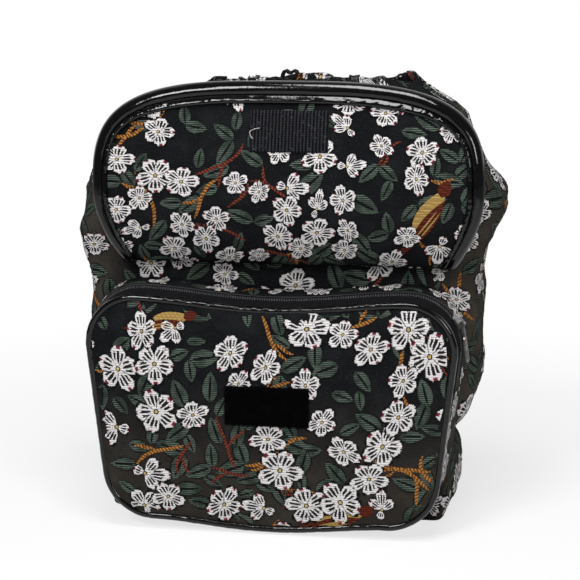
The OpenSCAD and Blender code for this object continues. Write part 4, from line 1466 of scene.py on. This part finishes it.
class BACKPACK_OT_patches(bpy.types.Operator):
    """Makes the ribbed hook patch on the flap and the fuzzy loop patch on the pocket"""

    bl_idname = "backpack.patches"
    bl_label = "Fastening patches"

    def execute(self, context):
        centre, size = patch_place("hook_patch")
        hook = patch_sheet(lambda x, z: flap_front(x, z) - 0.4, centre, size, ribs=1.1)
        trim_piece("hook_tape_patch", hook, "hook_tape", PATCH_TAPE, "hook_tape", "hook_patch")
        bends = smooth_profile([(5.6, 3.4), (1.8, 2.6), (-1.6, 0.6), (-1.0, -2.2), (0.9, -4.6)], 30)
        curl = []
        for dx, dz in bends:
            x, z = centre[0] - size[0] / 2 + 2.2 + dx, centre[1] - 1.0 + dz
            curl.append([x, flap_front(x, z) - 2.9, z])
        curl = np.array(curl)
        side = np.gradient(curl, axis=0)
        normal = unit(np.stack([side[:, 2], 0 * side[:, 0], -side[:, 0]], 1))
        points, coords = tube_sheet(curl, normal, 0.32, around=6)
        loose = grid_object("loose_thread_end", points, coords, loop_cols=True, flip=True)
        paint(loose, finish("stray_thread"))
        settle(loose, "hook_tape")
        centre, size = patch_place("loop_patch")
        points, coords = patch_sheet(lambda x, z: face_depth(x, z) - FACE_HALF - 0.5, centre, size)
        pile = grid_object("loop_tape_patch", points, coords)
        paint(pile, finish("loop_pile"))
        nap = pile.copy()
        nap.data = pile.data.copy()
        nap.name = "loop_tape_nap"
        context.scene.collection.objects.link(nap)
        thicken(pile, PATCH_TAPE)
        settle(pile, "loop_tape", "loop_patch")
        item = fibre_item()
        run_tree(nap, "nap", Item=item, Density=NAP_DENSITY, Seed=7, Finish=finish("loop_pile"))
        discard(item)
        settle(nap, "loop_tape")
        return {"FINISHED"}


# Woven pattern


def petal_grid(base, turn, reach, width):
    """One petal as a small flat grid that widens outwards, with its own coordinates."""
    points, coords = [], []
    c, s = math.cos(turn), math.sin(turn)
    for along, half in ((0.0, 0.30), (0.34, 0.80), (0.72, 1.0), (1.0, 0.92)):
        for across in (-1, 0, 1):
            r = base + reach * (along - 0.05 * abs(across) * (along > 0.9))
            w = half * width / 2 * across
            points.append([r * c - w * s, r * s + w * c, 0])
            coords.append([across, along])
    return np.array(points), np.array(coords)


def motif_object(name, pieces):
    """Joins small flat grids, each rows by columns, into one motif of unit width."""
    points, faces, uv = [], [], []
    at = 0
    for grid, coords, rows, cols in pieces:
        f = grid_faces(rows, cols)
        if np.cross(grid[cols] - grid[0], grid[1] - grid[0])[2] > 0:
            f = f[:, ::-1]
        points.append(grid)
        faces += (f + at).tolist()
        uv.append(coords[f.ravel()])
        at += len(grid)
    return make_object(name, np.vstack(points), faces, np.vstack(uv), MOTIF_UV)


# Petals of the two blossoms: turn, reach and width. An open one's turn is from its even place.
OPEN_PETALS = (
    (0.0, 0.44, 0.41), (0.08, 0.41, 0.43), (-0.05, 0.45, 0.38), (0.06, 0.40, 0.42), (-0.07, 0.43, 0.40),
)
SIDE_PETALS = ((-0.95, 0.40, 0.32), (0.0, 0.56, 0.36), (0.95, 0.42, 0.32), (2.8, 0.24, 0.28))


def petals_motif(name, base, petals):
    """A blossom whose petals start at a distance from its heart."""
    return motif_object(name, [(*petal_grid(base, *petal), 4, 3) for petal in petals])


def blossom_motif():
    """An open blossom of five petals, no two quite alike."""
    even = math.tau / len(OPEN_PETALS)
    petals = [(even * k + shift, reach, width) for k, (shift, reach, width) in enumerate(OPEN_PETALS)]
    return petals_motif("blossom_motif", 0.055, petals)


def side_blossom_motif():
    """A blossom seen from its side: three long petals and a short one."""
    return petals_motif("side_blossom_motif", 0.05, SIDE_PETALS)


def heart_motif():
    turn = np.linspace(0, math.tau, 9)
    grid = np.array([[r * math.cos(a), r * math.sin(a), 0.0] for r in (0.004, 0.055, 0.12) for a in turn])
    coords = grid[:, :2] / 0.12
    return motif_object("heart_motif", [(grid, coords, 3, 9)])


def leaf_motif():
    along = np.linspace(0, 1, 7)
    half = 0.5 * np.sin(math.pi * along**0.8) ** 0.8 + 0.02
    grid = np.array([[a, h * k, 0] for a, h in zip(along, half) for k in (-1, 0, 1)])
    coords = np.array([[k, a] for a in along for k in (-1, 0, 1)])
    return motif_object("leaf_motif", [(grid, coords, 7, 3)])


def point_object(name, rows):
    """Pattern points with their turn and size. Each row is x, y, lift, turn, length, width."""
    rows = np.asarray(rows, float).reshape(-1, 6)
    mesh = bpy.data.meshes.new(name)
    mesh.from_pydata(rows[:, :3].tolist(), [], [])
    mesh.attributes.new("turn", "FLOAT", "POINT").data.foreach_set("value", rows[:, 3].astype(np.float32))
    scale = np.column_stack([rows[:, 4], rows[:, 5], np.ones(len(rows))]).astype(np.float32)
    mesh.attributes.new("size", "FLOAT_VECTOR", "POINT").data.foreach_set("vector", scale.ravel())
    obj = bpy.data.objects.new(name, mesh)
    bpy.context.scene.collection.objects.link(obj)
    return obj


def ribbon_object(name, lines, width):
    """Branches as flat ribbons that taper at both ends."""
    points, faces, uv = [], [], []
    for line in lines:
        line = np.asarray(line, float)
        run = run_along(line)
        tangent = np.gradient(line, axis=0)
        normal = unit(np.stack([-tangent[:, 1], tangent[:, 0]], 1), 1e-12)
        taper = 0.35 + 0.65 * np.clip(np.minimum(run, run[-1] - run) / 0.006, 0, 1)
        base = sum(len(p) for p in points)
        side = normal * (width / 2 * taper)[:, None]
        grid = np.stack([line - side, line, line + side], 1)
        points.append(np.concatenate([grid, np.zeros((len(line), 3, 1))], 2).reshape(-1, 3))
        f = grid_faces(len(line), 3)[:, ::-1]
        coords = np.stack([np.tile([-1.0, 0.0, 1.0], len(line)), np.repeat(run, 3)], 1)
        faces += (f + base).tolist()
        uv.append(coords[f.ravel()])
    return make_object(name, np.vstack(points), faces, np.vstack(uv), MOTIF_UV)


def curved_twig(rng, start, heading, reach, bend):
    """A smooth twig from a start point."""
    count = max(8, int(reach / 0.0035))
    sway = 0.25 * np.sin(np.linspace(0, 5, count) + rng.uniform(0, 6))
    turn = heading + bend * np.linspace(-0.5, 1, count) + sway
    step = reach / count
    return np.array(start) + np.cumsum(np.stack([np.cos(turn), np.sin(turn)], 1) * step, 0)


# Branches keep this far from a bird's middle.
BIRD_ROOM = 0.019


class Pattern:
    """Lays out blossoms, leaves and branches in cloth coordinates with a fixed seed."""

    def __init__(self, seed, box, blossom, leaf, inside=None):
        self.rng = np.random.default_rng(seed)
        self.box, self.blossom, self.leaf = box, blossom, leaf
        self.inside = inside or (lambda x, y: True)
        self.blossoms, self.sides, self.leaves = [], [], []
        self.branches, self.twigs, self.plumes, self.breasts, self.perches = [], [], [], [], []

    def free(self, points, x, y, gap):
        return all((p[0] - x) ** 2 + (p[1] - y) ** 2 > gap * gap for p in points)

    def add_blossom(self, x, y, scale=1.0):
        size = self.blossom * scale * self.rng.uniform(0.88, 1.1)
        gap = 0.60 * self.blossom * max(1.0, scale)
        if not self.inside(x, y) or not self.free(self.blossoms + self.sides, x, y, gap):
            return
        kind = self.sides if self.rng.random() < 0.28 else self.blossoms
        draw = self.rng.uniform
        kind.append([x, y, draw(0, 0.0002), draw(0, math.tau), size, size * draw(0.72, 1.0)])

    def add_leaf(self, x, y, turn, scale=1.0):
        size = self.leaf * scale * self.rng.uniform(0.75, 1.2)
        cx, cy = x + 0.5 * size * math.cos(turn), y + 0.5 * size * math.sin(turn)
        if not self.inside(cx, cy) or not self.free(self.blossoms + self.sides, cx, cy, 0.5 * self.blossom):
            return
        if not self.free([row[6:] for row in self.leaves], cx, cy, 0.62 * self.leaf):
            return
        draw = self.rng.uniform
        self.leaves.append([x, y, draw(0, 0.00008), turn, size, size * draw(0.50, 0.66), cx, cy])

    def cluster(self, x, y, count, grown=1.0):
        """A loose bunch of blossoms round a point."""
        self.add_blossom(x, y, 1.06 * grown)
        spin = self.rng.uniform(0, math.tau)
        for k in range(count - 1):
            a = spin + k * 2.4
            r = grown * self.blossom * (0.78 + 0.13 * k) * self.rng.uniform(0.9, 1.1)
            self.add_blossom(x + r * math.cos(a), y + r * math.sin(a), grown * self.rng.uniform(0.72, 1.02))

    def spray(self, x, y, turn, count):
        """A fan of leaves from one point."""
        for k in range(count):
            self.add_leaf(x, y, turn + (k - (count - 1) / 2) * self.rng.uniform(0.7, 0.95))

    def bough(self, x, y, heading, reach, kind):
        """A forked branch with fans of leaves at its ends."""
        line = curved_twig(self.rng, (x, y), heading, reach, self.rng.uniform(-0.9, 0.9))
        lines = [line]
        k = int(len(line) * self.rng.uniform(0.35, 0.6))
        d = line[k] - line[k - 1]
        fork = math.atan2(d[1], d[0]) + self.rng.choice([-1, 1]) * self.rng.uniform(0.5, 0.9)
        short = reach * self.rng.uniform(0.35, 0.6)
        lines.append(curved_twig(self.rng, line[k], fork, short, self.rng.uniform(-0.6, 0.6)))
        getattr(self, kind).extend(lines)
        for end in lines:
            d = end[-1] - end[-2]
            self.spray(end[-1, 0], end[-1, 1], math.atan2(d[1], d[0]), int(self.rng.integers(3, 5)))

    def bird(self, x, y, turn, scale=1.0):
        """A small perched bird of plain feather shapes."""

        def part(feathers, dx, dy, spin, long, wide, lift):
            c, s = math.cos(turn), math.sin(turn)
            spot = [x + scale * (dx * c - dy * s), y + scale * (dx * s + dy * c), lift]
            feathers.append(spot + [turn + spin, long * scale, wide * scale])

        self.perches.append((x, y))
        part(self.plumes, -0.010, -0.001, math.pi + 0.06, 0.032, 0.0055, 0.0)
        part(self.breasts, -0.018, 0.001, 0.06, 0.036, 0.0125, 0.00004)
        part(self.plumes, -0.024, -0.003, 0.05, 0.036, 0.0085, 0.00012)
        for dy in (-0.0045, -0.0020):
            part(self.breasts, -0.018, dy, 0.03, 0.022, 0.0011, 0.00020)
        part(self.plumes, 0.012, 0.002, 0.30, 0.012, 0.0085, 0.00012)

    def clear_of_birds(self, line):
        return all(self.free(line, *perch, BIRD_ROOM) for perch in self.perches)

    def fill(self, clusters, boughs, spare_blossoms, sprays, spare_leaves):
        """Bunches at given places, then branches, fans and single leaves wherever there is room."""
        (x0, y0), (x1, y1) = self.box

        def anywhere():
            return self.rng.uniform(x0, x1), self.rng.uniform(y0, y1)

        for bunch in clusters:
            self.cluster(*bunch)
        for _ in range(spare_blossoms):
            self.add_blossom(*anywhere(), self.rng.uniform(0.7, 0.95))
        for k in range(boughs):
            x, y = anywhere()
            if self.inside(x, y):
                kind = "twigs" if k % 3 == 2 else "branches"
                self.bough(x, y, self.rng.uniform(0, math.tau), self.rng.uniform(0.028, 0.055), kind)
        for lines in (self.branches, self.twigs):
            lines[:] = [line for line in lines if self.clear_of_birds(line)]
        for _ in range(sprays):
            self.spray(*anywhere(), self.rng.uniform(0, math.tau), 4)
        for _ in range(spare_leaves):
            self.add_leaf(*anywhere(), self.rng.uniform(0, math.tau), 0.8)
        return self


def scattered(seed, box, gap, tries=4000, inside=None):
    """Points at least a gap apart, from a fixed seed."""
    rng = np.random.default_rng(seed)
    (x0, y0), (x1, y1) = box
    kept = []
    for _ in range(tries):
        x, y = rng.uniform(x0, x1), rng.uniform(y0, y1)
        if (inside is None or inside(x, y)) and all((a - x) ** 2 + (b - y) ** 2 > gap * gap for a, b in kept):
            kept.append((x, y))
    return kept


# Size of a blossom's heart as a share of its motif's.
HEART_SHARE = 0.46


def weave_pattern(name, base, pattern):
    """Lays one pattern on one cloth face and keeps it as one piece."""
    parts = []
    layers = (
        ("branches", "woven_branch", 0.00040, 0.0028),
        ("twigs", "woven_twig", 0.00036, 0.0024),
    )
    for field, material, lift, width in layers:
        lines = getattr(pattern, field)
        if lines:
            part = ribbon_object(f"{name}_{field}", lines, width)
            parts.append(run_tree(part, "ribbon", Cloth=base, Lift=lift, Finish=finish(material)))
    for field, maker, material, lift in (
        ("leaves", leaf_motif, "woven_leaf", 0.00024),
        ("breasts", leaf_motif, "woven_breast", 0.00046),
        ("plumes", leaf_motif, "woven_plume", 0.00046),
        ("blossoms", blossom_motif, "woven_petal", 0.00052),
        ("sides", side_blossom_motif, "woven_petal", 0.00050),
        ("blossoms", heart_motif, "woven_heart", 0.00082),
        ("sides", heart_motif, "woven_heart", 0.00080),
    ):
        share = HEART_SHARE if maker is heart_motif else 1.0
        rows = [row[:4] + [v * share for v in row[4:6]] for row in getattr(pattern, field)]
        if rows:
            motif = maker()
            part = point_object(f"{name}_{field}_{material}", rows)
            parts.append(run_tree(part, "motif", Motif=motif, Cloth=base, Lift=lift, Finish=finish(material)))
            discard(motif)
    parts = [p for p in parts if len(p.data.polygons)]
    piece = join_meshes(name, parts)
    return settle(piece, "cloth")


# Bunches of blossoms: across, up, how many, and how much larger than usual.
FLAP_BUNCHES = (
    (-0.126, 0.124, 3, 1.3), (-0.100, 0.136, 3, 1.3), (-0.120, 0.092, 3, 1.3), (-0.076, 0.126, 2, 1.3),
    (-0.104, 0.070, 3, 1.3), (-0.104, 0.036, 3), (-0.078, 0.018, 3), (-0.052, 0.028, 3),
    (-0.036, 0.010, 3), (0.012, 0.070, 4), (-0.008, 0.054, 3), (0.036, 0.094, 4),
    (0.056, 0.116, 3), (0.068, 0.088, 3), (0.004, 0.032, 3), (0.034, 0.036, 3),
    (0.062, 0.042, 3), (0.112, 0.098, 3), (0.124, 0.112, 2), (0.108, 0.068, 2),
    (0.126, 0.026, 3), (-0.032, 0.144, 2), (0.098, 0.144, 2), (0.090, 0.010, 3),
)
POCKET_BUNCHES = (
    (-0.097, 0.158, 2), (-0.116, 0.128, 3), (-0.080, 0.126, 2), (-0.028, 0.144, 2),
    (-0.086, 0.096, 2), (-0.040, 0.098, 3), (0.010, 0.054, 3), (-0.096, 0.046, 3),
    (-0.034, 0.024, 3), (0.030, 0.164, 3), (0.046, 0.146, 3), (0.106, 0.166, 3),
    (0.122, 0.146, 3), (0.090, 0.128, 3), (0.088, 0.076, 3), (0.078, 0.050, 3),
    (0.056, 0.030, 3), (0.118, 0.100, 3), (-0.118, 0.082, 2), (0.030, 0.026, 3),
    (-0.070, 0.016, 2),
)


class BACKPACK_OT_pattern(bpy.types.Operator):
    """Weaves blossoms, leaves and branches into the cloth of flap, pocket and sack"""

    bl_idname = "backpack.pattern"
    bl_label = "Woven pattern"

    def execute(self, context):
        s = sizes()
        box = ((-0.138, 0.0), (0.154, 0.168))
        flap = Pattern(17, box, s.flap_blossom, s.leaf)
        flap.bird(0.120, 0.052, 0.9, 1.15)
        flap.fill(FLAP_BUNCHES, 18, 4, 100, 110)
        weave_pattern("flap_pattern", BASES["flap"], flap)
        box = ((-0.141, 0.0), (0.141, 0.190))
        pocket = Pattern(29, box, s.pocket_blossom, s.leaf)
        pocket.bird(-0.075, 0.166, 0.1, 0.9)
        pocket.bird(0.058, 0.016, 0.2, 1.1)
        pocket.fill(POCKET_BUNCHES, 24, 4, 240, 320)
        weave_pattern("pocket_pattern", BASES["pocket"], pocket)
        box = ((0.0, 0.0), (0.60, 0.045))
        side = Pattern(31, box, s.sack_blossom, s.leaf)
        side.fill([(x, y, 3) for x, y in scattered(12, box, 0.052)], 14, 10, 50, 110)
        weave_pattern("pocket_side_pattern", BASES["gusset"], side)
        box = ((0.0, 0.0), (0.62, 0.020))
        strip = Pattern(37, box, s.flap_blossom, s.leaf)
        strip.fill([(x, y, 2) for x, y in scattered(16, box, 0.045)], 6, 8, 20, 60)
        weave_pattern("pocket_top_pattern", BASES["top_strip"], strip)
        box = ((0.0, 0.0), (0.80, 0.385))

        def shown(x, y):
            return not (x > 0.555 and (y < 0.17 or 0.228 < y < 0.30))

        sack = Pattern(43, box, s.sack_blossom, s.leaf * 1.05, inside=shown)
        bunches = [(x, y, 3 + k % 3) for k, (x, y) in enumerate(scattered(14, box, 0.062, inside=shown))]
        bunches += [(x, 0.331, 3) for x in np.arange(0.572, 0.80, 0.036)]
        sack.fill(bunches, 80, 60, 600, 1500)
        weave_pattern("sack_pattern", BASES["sack"], sack)
        for base in BASES.values():
            discard(base)
        BASES.clear()
        return {"FINISHED"}


# Back and straps


def strap_line(side, count):
    """The padded strap's middle line from its lower end to its top, with its half width and lean."""
    t = np.linspace(0, 1, count)
    end_x = RING_X - WEB_LONG * math.sin(STRAP_LEAN)
    end_z = RING_Z + WEB_LONG * math.cos(STRAP_LEAN) + 0.3
    x = side * (end_x + (STRAP_TOP_X - end_x) * ramp(0, 1.15, t))
    centre = np.stack([x, WEB_Y + STRAP_BOW * np.sin(math.pi * t), end_z + (STRAP_TOP_Z - end_z) * t], 1)
    half = (STRAP_WIDE + STRAP_WIDER * ramp(0, 0.8, t)) / 2
    turn = STRAP_LEAN * (1 - t)
    across = np.stack([np.cos(turn), 0 * t, side * np.sin(turn)], 1)
    thick = STRAP_PAD * (0.5 + 0.5 * ramp(0, 0.12, t))
    return t, centre, half, across, thick


def strap_sheet(side):
    """A padded strap as a closed tube: puffed between its sewn edges."""
    t, centre, half, across, thick = strap_line(side, 90)
    around = 40
    turn = np.linspace(0, math.tau, around, endpoint=False)
    u = signed_pow(np.cos(turn), 0.55)
    v = signed_pow(np.sin(turn), 0.75)
    edge = bell(np.abs(u), 0.80, 0.07)
    v = v * (1 - 0.38 * edge)
    normal = np.cross(across, unit(np.gradient(centre, axis=0)))
    normal *= np.sign(normal[:, 1:2])
    run = t * 165
    puff = 1 + 0.05 * ripple(run[:, None] / 14, u[None] * 1.5 + 0 * run[:, None], 131 + side, 2)
    wide = (half[:, None] * u[None])[..., None] * across[:, None]
    deep = (thick[:, None] * v[None] * puff)[..., None] * normal[:, None]
    points = centre[:, None] + wide + deep
    coords = np.stack([u[None] * half[:, None] + 0 * run[:, None], run[:, None] + 0 * u[None]], 2) * MM
    return points, coords


def to_webbing(side, points):
    """From a webbing's own frame, up along it from its ring, to the bag's frame."""
    c, s = math.cos(-side * STRAP_LEAN), math.sin(-side * STRAP_LEAN)
    x, y, z = np.moveaxis(np.asarray(points, float), -1, 0)
    return np.stack([side * RING_X + x * c + z * s, WEB_Y + y, RING_Z - x * s + z * c], -1)


def band_sheet(centre, across, normal, width, thick, around=20):
    """A band of webbing along a line as a closed flat tube with rounded selvedges."""
    turn = np.linspace(0, math.tau, around, endpoint=False)
    u, v = signed_pow(np.cos(turn), 0.35) * width / 2, signed_pow(np.sin(turn), 0.6) * thick / 2
    run = run_along(centre)
    points = centre[:, None] + u[None, :, None] * across + v[None, :, None] * normal[:, None]
    coords = np.stack([u[None] + 0 * run[:, None], run[:, None] + 0 * u[None]], 2) * MM
    return points, coords


def bent_band(line, width, thick, flat_y=None):
    """A band bent along a line in a plane: XZ at one depth, or YZ in a webbing's own frame."""
    line = even_line(line, 80)
    tangent = unit(np.gradient(line, axis=0))
    zero = np.zeros(len(line))
    if flat_y is None:
        centre, across = np.stack([zero, line[:, 0], line[:, 1]], 1), np.array([1.0, 0, 0])
        normal = np.stack([zero, -tangent[:, 1], tangent[:, 0]], 1)
    else:
        centre, across = np.stack([line[:, 0], zero + flat_y, line[:, 1]], 1), np.array([0, 1.0, 0])
        normal = np.stack([-tangent[:, 1], zero, tangent[:, 0]], 1)
    return band_sheet(centre, across, normal, width, thick)


def tape_sheet(side, y, low, high):
    """A straight length of strap webbing, from low to high along its own frame."""
    line = np.stack([np.full(40, y), np.linspace(low, high, 40)], 1)
    points, coords = bent_band(line, WEB_WIDE, WEB_THICK)
    return to_webbing(side, points), coords


def hang_loop_sheet():
    """The hang loop: webbing bent over in an arch whose crest is pinched in."""
    u = np.radians(np.linspace(0, 180, 61))
    crest = LOOP_SPRING + LOOP_RISE * np.clip(np.sin(u), 0, 1) ** 0.55
    arch = np.stack([-LOOP_HALF * np.cos(u), crest - LOOP_PINCH * bell(np.degrees(u), 90, 26)], 1)
    line = np.vstack([[-LOOP_HALF, LOOP_FOOT], arch, [LOOP_HALF, LOOP_FOOT]]) + [LOOP_X, 0.0]
    return bent_band(line, LOOP_WIDE, LOOP_THICK, flat_y=LOOP_Y)


def tab_sheet(side):
    """An anchor tab: a tail on the back panel that turns under and round the ring's lower bar."""
    turn = np.radians(np.linspace(-90, 150, 25))
    hook = np.stack([2.6 * np.cos(turn), -9 + 2.6 * np.sin(turn)], 1)
    line = np.vstack([[[-5.5, 9.0], [-5.5, -9.6], [-5.1, -10.9], [-3.9, -11.6]], hook])
    points, coords = bent_band(line, WEB_WIDE, WEB_THICK)
    return to_webbing(side, points), coords


def yoke_sheet():
    """The yoke: a stiffened patch with rolled edges that the straps are sewn under."""
    up, out = np.linspace(YOKE_LOW, YOKE_HIGH, 45), np.linspace(-YOKE_HALF, YOKE_HALF, 121)
    z, x = np.meshgrid(up, out, indexing="ij")
    edge = room_to_edge(x, z)
    y = YOKE_Y + 1.25 * ramp(-0.4, 3.0, edge) - 0.5 * bell(edge, 5.5, 1.2)
    y = y + 0.12 * ripple(x / 12, z / 12, 141, 2)
    return np.stack([x, y, z], 2), np.stack([x, z], 2) * MM


def cap_ends(obj, around):
    """Closes both ends of a tube whose rings follow each other."""
    count = len(obj.data.vertices)
    bm = bmesh.new()
    bm.from_mesh(obj.data)
    bm.verts.ensure_lookup_table()
    for ring in (range(around), range(count - around, count)):
        bm.faces.new([bm.verts[i] for i in ring])
    bmesh.ops.recalc_face_normals(bm, faces=bm.faces)
    bm.to_mesh(obj.data)
    bm.free()
    return obj


class BACKPACK_OT_straps(bpy.types.Operator):
    """Makes the padded straps, webbing, yoke, tabs and hang loop, and finishes adjusters and rings"""

    bl_idname = "backpack.straps"
    bl_label = "Straps and back"

    def execute(self, context):
        seams = []
        for side, name in ((-1, "left"), (1, "right")):
            strap = closed_band(f"padded_strap_{name}", strap_sheet(side), "woven_ground")
            settle(strap, "cloth", f"shoulder_strap_{name}")
            _, centre, half, across, thick = strap_line(side, 120)
            for edge in (-0.80, 0.80):
                line = centre + across * (half * edge)[:, None]
                line[:, 1] += thick * 0.62
                seams.append(line[4:-4])
            tab = closed_band(f"tab_{name}", tab_sheet(side), "strap_webbing")
            settle(tab, "vinyl", f"anchor_tab_{name}")
            tape = closed_band(f"webbing_{name}", tape_sheet(side, 0.0, 1.8, 125.8), "strap_webbing")
            settle(tape, "webbing", f"strap_webbing_{name}")
            tape = closed_band(f"webbing_return_{name}", tape_sheet(side, 1.9, 1.8, 49.6), "strap_webbing")
            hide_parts(f"strap_return_{name}")
            start, end = to_webbing(side, np.array([[0, 1.9, 4.0], [0, 1.9, 49.0]])) * MM
            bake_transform(tape)
            paint(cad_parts[f"strap_adjuster_{name}"], finish("buckle_nylon"))
            paint(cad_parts[f"anchor_ring_{name}"], finish("plated_metal"))
        sew("strap_stitches", seams, "cloth")
        trim_piece("yoke_patch", yoke_sheet(), "glossy_vinyl", YOKE_VINYL, "vinyl", "strap_yoke", flip=True)
        x, low, high = YOKE_HALF - YOKE_SEAM, YOKE_LOW + YOKE_SEAM, YOKE_HIGH - YOKE_SEAM
        line = even_line([[-x, high], [-x, low], [x, low], [x, high], [-x, high]], 400)
        sew("yoke_stitches", [np.stack([line[:, 0], np.full(400, YOKE_Y + 1), line[:, 1]], 1)])
        loop = closed_band("hang_loop_webbing", hang_loop_sheet(), "strap_webbing")
        settle(loop, "vinyl", "hang_loop")
        return {"FINISHED"}


# Stage


class BACKPACK_OT_stage(bpy.types.Operator):
    """Sets the camera, the lights and the pale floor"""

    bl_idname = "backpack.stage"
    bl_label = "Stage"

    def execute(self, context):
        scene = context.scene
        scene.view_settings.view_transform = "Standard"
        azimuth, elevation, distance = math.radians(9.0), math.radians(11.0), 1.248
        target = Vector((0.0088, -0.052, 0.183))
        level = math.cos(elevation)
        back = Vector((math.sin(azimuth) * level, -math.cos(azimuth) * level, math.sin(elevation)))
        lens = bpy.data.cameras.new("camera")
        lens.sensor_width = 36.0
        lens.lens = 36.0 * 1600 / 580
        camera = bpy.data.objects.new("camera", lens)
        camera.location = target + back * distance
        camera.rotation_euler = (-back).to_track_quat("-Z", "Y").to_euler()
        scene.collection.objects.link(camera)
        scene.camera = camera
        for name, place, size, power in (
            ("key_light", (-0.7, -1.6, 1.6), 0.6, 26.0),
            ("fill_light", (1.3, -1.5, 0.8), 0.5, 11.5),
            ("top_light", (0.1, -0.45, 1.4), 0.5, 12.5),
        ):
            lamp = bpy.data.lights.new(name, "AREA")
            lamp.energy = power
            lamp.size = size
            light = bpy.data.objects.new(name, lamp)
            light.location = place
            aim = Vector((0, -0.03, 0.18)) - Vector(place)
            light.rotation_euler = aim.to_track_quat("-Z", "Y").to_euler()
            scene.collection.objects.link(light)
        self.backdrop(scene)
        self.floor()
        return {"FINISHED"}

    def either(self, tree, *sockets):
        """The largest of several values."""
        total = sockets[0]
        for other in sockets[1:]:
            most = tree.nodes.new("ShaderNodeMath")
            most.operation = "MAXIMUM"
            tree.links.new(total, most.inputs[0])
            tree.links.new(other, most.inputs[1])
            total = most.outputs[0]
        return total

    def times(self, tree, a, b):
        """The product of two values."""
        made = tree.nodes.new("ShaderNodeMath")
        made.operation = "MULTIPLY"
        tree.links.new(a, made.inputs[0])
        tree.links.new(b, made.inputs[1])
        return made.outputs[0]

    def fade(self, tree, value, low, high, start, end):
        """A smooth change from start to end as a value goes from low to high."""
        made = tree.nodes.new("ShaderNodeMapRange")
        made.interpolation_type = "SMOOTHSTEP"
        for label, number in zip(("From Min", "From Max", "To Min", "To Max"), (low, high, start, end)):
            made.inputs[label].default_value = number
        tree.links.new(value, made.inputs["Value"])
        return made.outputs[0]

    def backdrop(self, scene):
        """White behind the bag for the camera, gloss and glass, with a dim room on the camera's side."""
        world = bpy.data.worlds.new("backdrop")
        scene.world = world
        world.use_nodes = True
        tree = world.node_tree
        light = tree.nodes["Background"]
        light.inputs["Color"].default_value = (1, 1, 1, 1)
        light.inputs["Strength"].default_value = 0.12
        white = tree.nodes.new("ShaderNodeBackground")
        white.inputs["Color"].default_value = (1, 1, 1, 1)
        path = tree.nodes.new("ShaderNodeLightPath").outputs
        split = tree.nodes.new("ShaderNodeSeparateXYZ")
        tree.links.new(tree.nodes.new("ShaderNodeTexCoord").outputs["Generated"], split.inputs[0])
        behind = self.fade(tree, split.outputs["Y"], 0.15, 0.65, 0.0, 1.0)
        gloss = self.either(tree, path["Is Glossy Ray"], path["Is Transmission Ray"])
        mirrored = self.times(tree, gloss, behind)
        pick = tree.nodes.new("ShaderNodeMixShader")
        tree.links.new(self.either(tree, path["Is Camera Ray"], mirrored), pick.inputs[0])
        tree.links.new(light.outputs[0], pick.inputs[1])
        tree.links.new(white.outputs[0], pick.inputs[2])
        tree.links.new(pick.outputs[0], tree.nodes["World Output"].inputs["Surface"])

    def floor(self):
        """A pale floor that keeps the bag's shadow and fades to white away from it."""
        size = 6.0
        points = [[-size, -size, 0], [size, -size, 0], [size, size, 0], [-size, size, 0]]
        floor = make_object("floor", points, [[0, 1, 2, 3]], smooth=False)
        material = bpy.data.materials.new("pale_floor")
        material.use_nodes = True
        tree = material.node_tree
        matt = tree.nodes["Principled BSDF"]
        matt.inputs["Base Color"].default_value = (0.86, 0.86, 0.86, 1)
        matt.inputs["Roughness"].default_value = 0.9
        matt.inputs["Specular IOR Level"].default_value = 0.1
        glow = tree.nodes.new("ShaderNodeEmission")
        glow.inputs["Strength"].default_value = 1.0
        pick = tree.nodes.new("ShaderNodeMixShader")
        away = tree.nodes.new("ShaderNodeVectorMath")
        away.operation = "LENGTH"
        tree.links.new(tree.nodes.new("ShaderNodeTexCoord").outputs["Object"], away.inputs[0])
        path, far = tree.nodes.new("ShaderNodeLightPath").outputs, away.outputs["Value"]
        shown = self.times(tree, path["Is Camera Ray"], self.fade(tree, far, 0.18, 0.75, 0.72, 1.0))
        gloss = self.either(tree, path["Is Glossy Ray"], path["Is Transmission Ray"])
        mirrored = self.times(tree, gloss, self.fade(tree, far, 0.25, 0.60, 0.8, 0.0))
        tree.links.new(self.either(tree, shown, mirrored), pick.inputs[0])
        tree.links.new(matt.outputs[0], pick.inputs[1])
        tree.links.new(glow.outputs[0], pick.inputs[2])
        tree.links.new(pick.outputs[0], tree.nodes["Material Output"].inputs["Surface"])
        paint(floor, material)


STEPS = (
    BACKPACK_OT_sack,
    BACKPACK_OT_flap,
    BACKPACK_OT_pocket,
    BACKPACK_OT_zip,
    BACKPACK_OT_patches,
    BACKPACK_OT_straps,
    BACKPACK_OT_pattern,
    BACKPACK_OT_stage,
)


class BACKPACK_PT_panel(bpy.types.Panel):
    """Lists the backpack's steps, sizes and colours"""

    bl_idname = "BACKPACK_PT_panel"
    bl_label = "Backpack"
    bl_space_type = "VIEW_3D"
    bl_region_type = "UI"
    bl_category = "Backpack"

    def draw(self, context):
        for step in STEPS:
            self.layout.operator(step.bl_idname)
        for group in (context.scene.backpack_sizes, context.scene.backpack_colours):
            for name in group.__annotations__:
                self.layout.prop(group, name)


CLASSES = (BackpackSizes, BackpackColours, *STEPS, BACKPACK_PT_panel)


def register():
    for cls in CLASSES:
        bpy.utils.register_class(cls)
    bpy.types.Scene.backpack_sizes = bpy.props.PointerProperty(type=BackpackSizes)
    bpy.types.Scene.backpack_colours = bpy.props.PointerProperty(type=BackpackColours)


def unregister():
    del bpy.types.Scene.backpack_colours
    del bpy.types.Scene.backpack_sizes
    for cls in reversed(CLASSES):
        bpy.utils.unregister_class(cls)


def main():
    register()
    for step in STEPS:
        group, name = step.bl_idname.split(".")
        getattr(getattr(bpy.ops, group), name)()
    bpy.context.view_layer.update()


if __name__ == "__main__":
    main()
